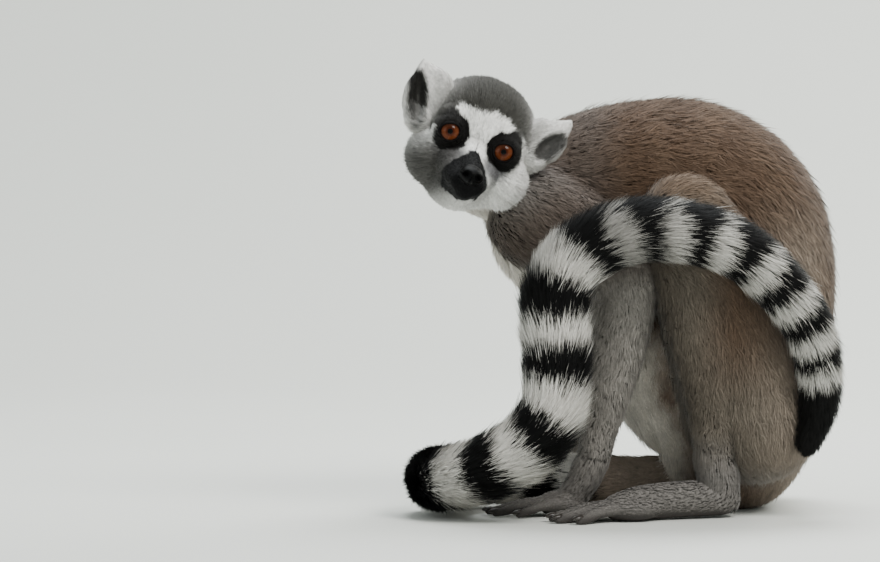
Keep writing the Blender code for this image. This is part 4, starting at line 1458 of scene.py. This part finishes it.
# ------------------------------------------------------------------ stage
# each lamp: place, diameter and power in metres and watts, and its colour; all are aimed at the animal's middle
LAMPS = {
    "key_light": ((0.8, -1.2, 1.5), 0.9, 40.0, (1.0, 0.98, 0.95)),
    "top_light": ((0.0, 0.4, 1.6), 1.1, 36.0, (0.95, 0.98, 1.0)),
    "rim_light": ((0.9, 1.1, 0.8), 0.7, 14.0, (1.0, 1.0, 0.94)),
    "fill_light": ((-1.3, -1.2, 0.7), 1.0, 4.0, (0.94, 0.97, 1.0)),
}
LAMP_AIM = np.array([-0.06, 0.0, 0.13])
CAMERA_AIM, CAMERA_FAR, CAMERA_LIFT = np.array([-0.172571, 0.0, 0.129714]), 2.79365, math.radians(3.0)


def matrix_of(axes, place):
    """The 4 by 4 matrix of an object with those axes as columns at that place."""
    return Matrix([[*axes[i], place[i]] for i in range(3)] + [[0, 0, 0, 1]])


def area_light(name, place, size, power, tint):
    """A round soft light aimed at the animal."""
    lamp = bpy.data.lights.new(name, "AREA")
    lamp.shape, lamp.size, lamp.energy, lamp.color = "DISK", size, power, tint
    light = add_object(name, lamp)
    place = np.array(place)
    light.matrix_world = matrix_of(turned_to(place - LAMP_AIM), place)


def sweep_surface(rows=60, columns=12):
    """A flat floor from 3 m in front to 0.9 m behind that turns up over a quarter circle into a wall.

    At the run r from the front edge, y = r - 3000 as far as the turn, and then with q = (r - 3900) / R, at most
    90 degrees, y = 900 + R sin q and z = R (1 - cos q), and what is left of the run goes straight up.
    """
    ahead, depth, radius, half_width = 3000.0, 900.0, 700.0, 2600
    run = np.linspace(0, 1, rows)[:, None] * (ahead + depth + 1200.0)
    turn = np.clip((run - ahead - depth) / radius, 0, np.pi / 2)
    y = np.minimum(run - ahead, depth) + radius * np.sin(turn)
    z = radius * (1 - np.cos(turn)) + np.maximum(0, run - ahead - depth - radius * np.pi / 2)
    x = np.linspace(-half_width, half_width, columns)[None]
    points = np.stack([x + 0 * y, y + 0 * x, z + 0 * x], -1).reshape(-1, 3)
    i, j = np.meshgrid(np.arange(rows - 1), np.arange(columns - 1), indexing="ij")
    a = i * columns + j
    b, c, d = a + 1, a + columns + 1, a + columns
    return points, np.concatenate([np.stack([a, b, c], -1).reshape(-1, 3), np.stack([a, c, d], -1).reshape(-1, 3)])


class LEMUR_OT_stage(bpy.types.Operator):
    """Pale floor that curves up behind, soft studio light and the camera"""

    bl_idname = "lemur.stage"
    bl_label = "Studio"

    def execute(self, context):
        scene = context.scene
        mesh = mesh_of("studio_floor", *sweep_surface())
        floor = add_object("studio_floor", mesh)
        mesh.materials.append(paper_material())

        world = bpy.data.worlds.get("studio_air") or bpy.data.worlds.new("studio_air")
        world.use_nodes = True
        air = world.node_tree.nodes["Background"].inputs
        air["Color"].default_value = (*linear("#dfe6e4"), 1)
        air["Strength"].default_value = 0.85
        scene.world = world
        for name, (place, size, power, tint) in LAMPS.items():
            area_light(name, place, size, power, tint)

        camera = bpy.data.cameras.new("camera")
        camera.lens, camera.sensor_width = 200.0, 36.0
        eye = add_object("camera", camera)
        back = np.array([0.0, -math.cos(CAMERA_LIFT), math.sin(CAMERA_LIFT)])
        eye.matrix_world = matrix_of(turned_to(back), CAMERA_AIM + back * CAMERA_FAR)
        scene.camera = eye
        return {"FINISHED"}


class LEMUR_PT_panel(bpy.types.Panel):
    """The lemur's pieces, with its sizes and colours"""

    bl_idname = "LEMUR_PT_panel"
    bl_label = "Ring-tailed lemur"
    bl_space_type = "VIEW_3D"
    bl_region_type = "UI"
    bl_category = "Lemur"

    def draw(self, context):
        column = self.layout.column()
        for operator in OPERATORS:
            column.operator(operator.bl_idname)
        for group in ("lemur_sizes", "lemur_colours"):
            values = getattr(context.scene, group)
            for key in type(values).__annotations__:
                column.prop(values, key)


OPERATORS = [
    LEMUR_OT_skin,
    LEMUR_OT_body_coat,
    LEMUR_OT_limb_coat,
    LEMUR_OT_tail_coat,
    LEMUR_OT_head_coat,
    LEMUR_OT_eyes,
    LEMUR_OT_nose,
    LEMUR_OT_nails,
    LEMUR_OT_stage,
]
CLASSES = [LemurSizes, LemurColours, *OPERATORS, LEMUR_PT_panel]


def register():
    for made in CLASSES:
        bpy.utils.register_class(made)
    bpy.types.Scene.lemur_sizes = bpy.props.PointerProperty(type=LemurSizes)
    bpy.types.Scene.lemur_colours = bpy.props.PointerProperty(type=LemurColours)


def unregister():
    del bpy.types.Scene.lemur_sizes, bpy.types.Scene.lemur_colours
    for made in reversed(CLASSES):
        bpy.utils.unregister_class(made)


def main():
    register()
    bpy.ops.lemur.skin()
    bpy.ops.lemur.body_coat()
    bpy.ops.lemur.limb_coat()
    bpy.ops.lemur.tail_coat()
    bpy.ops.lemur.head_coat()
    bpy.ops.lemur.eyes()
    bpy.ops.lemur.nose()
    bpy.ops.lemur.nails()
    bpy.ops.lemur.stage()


if __name__ == "__main__":
    main()
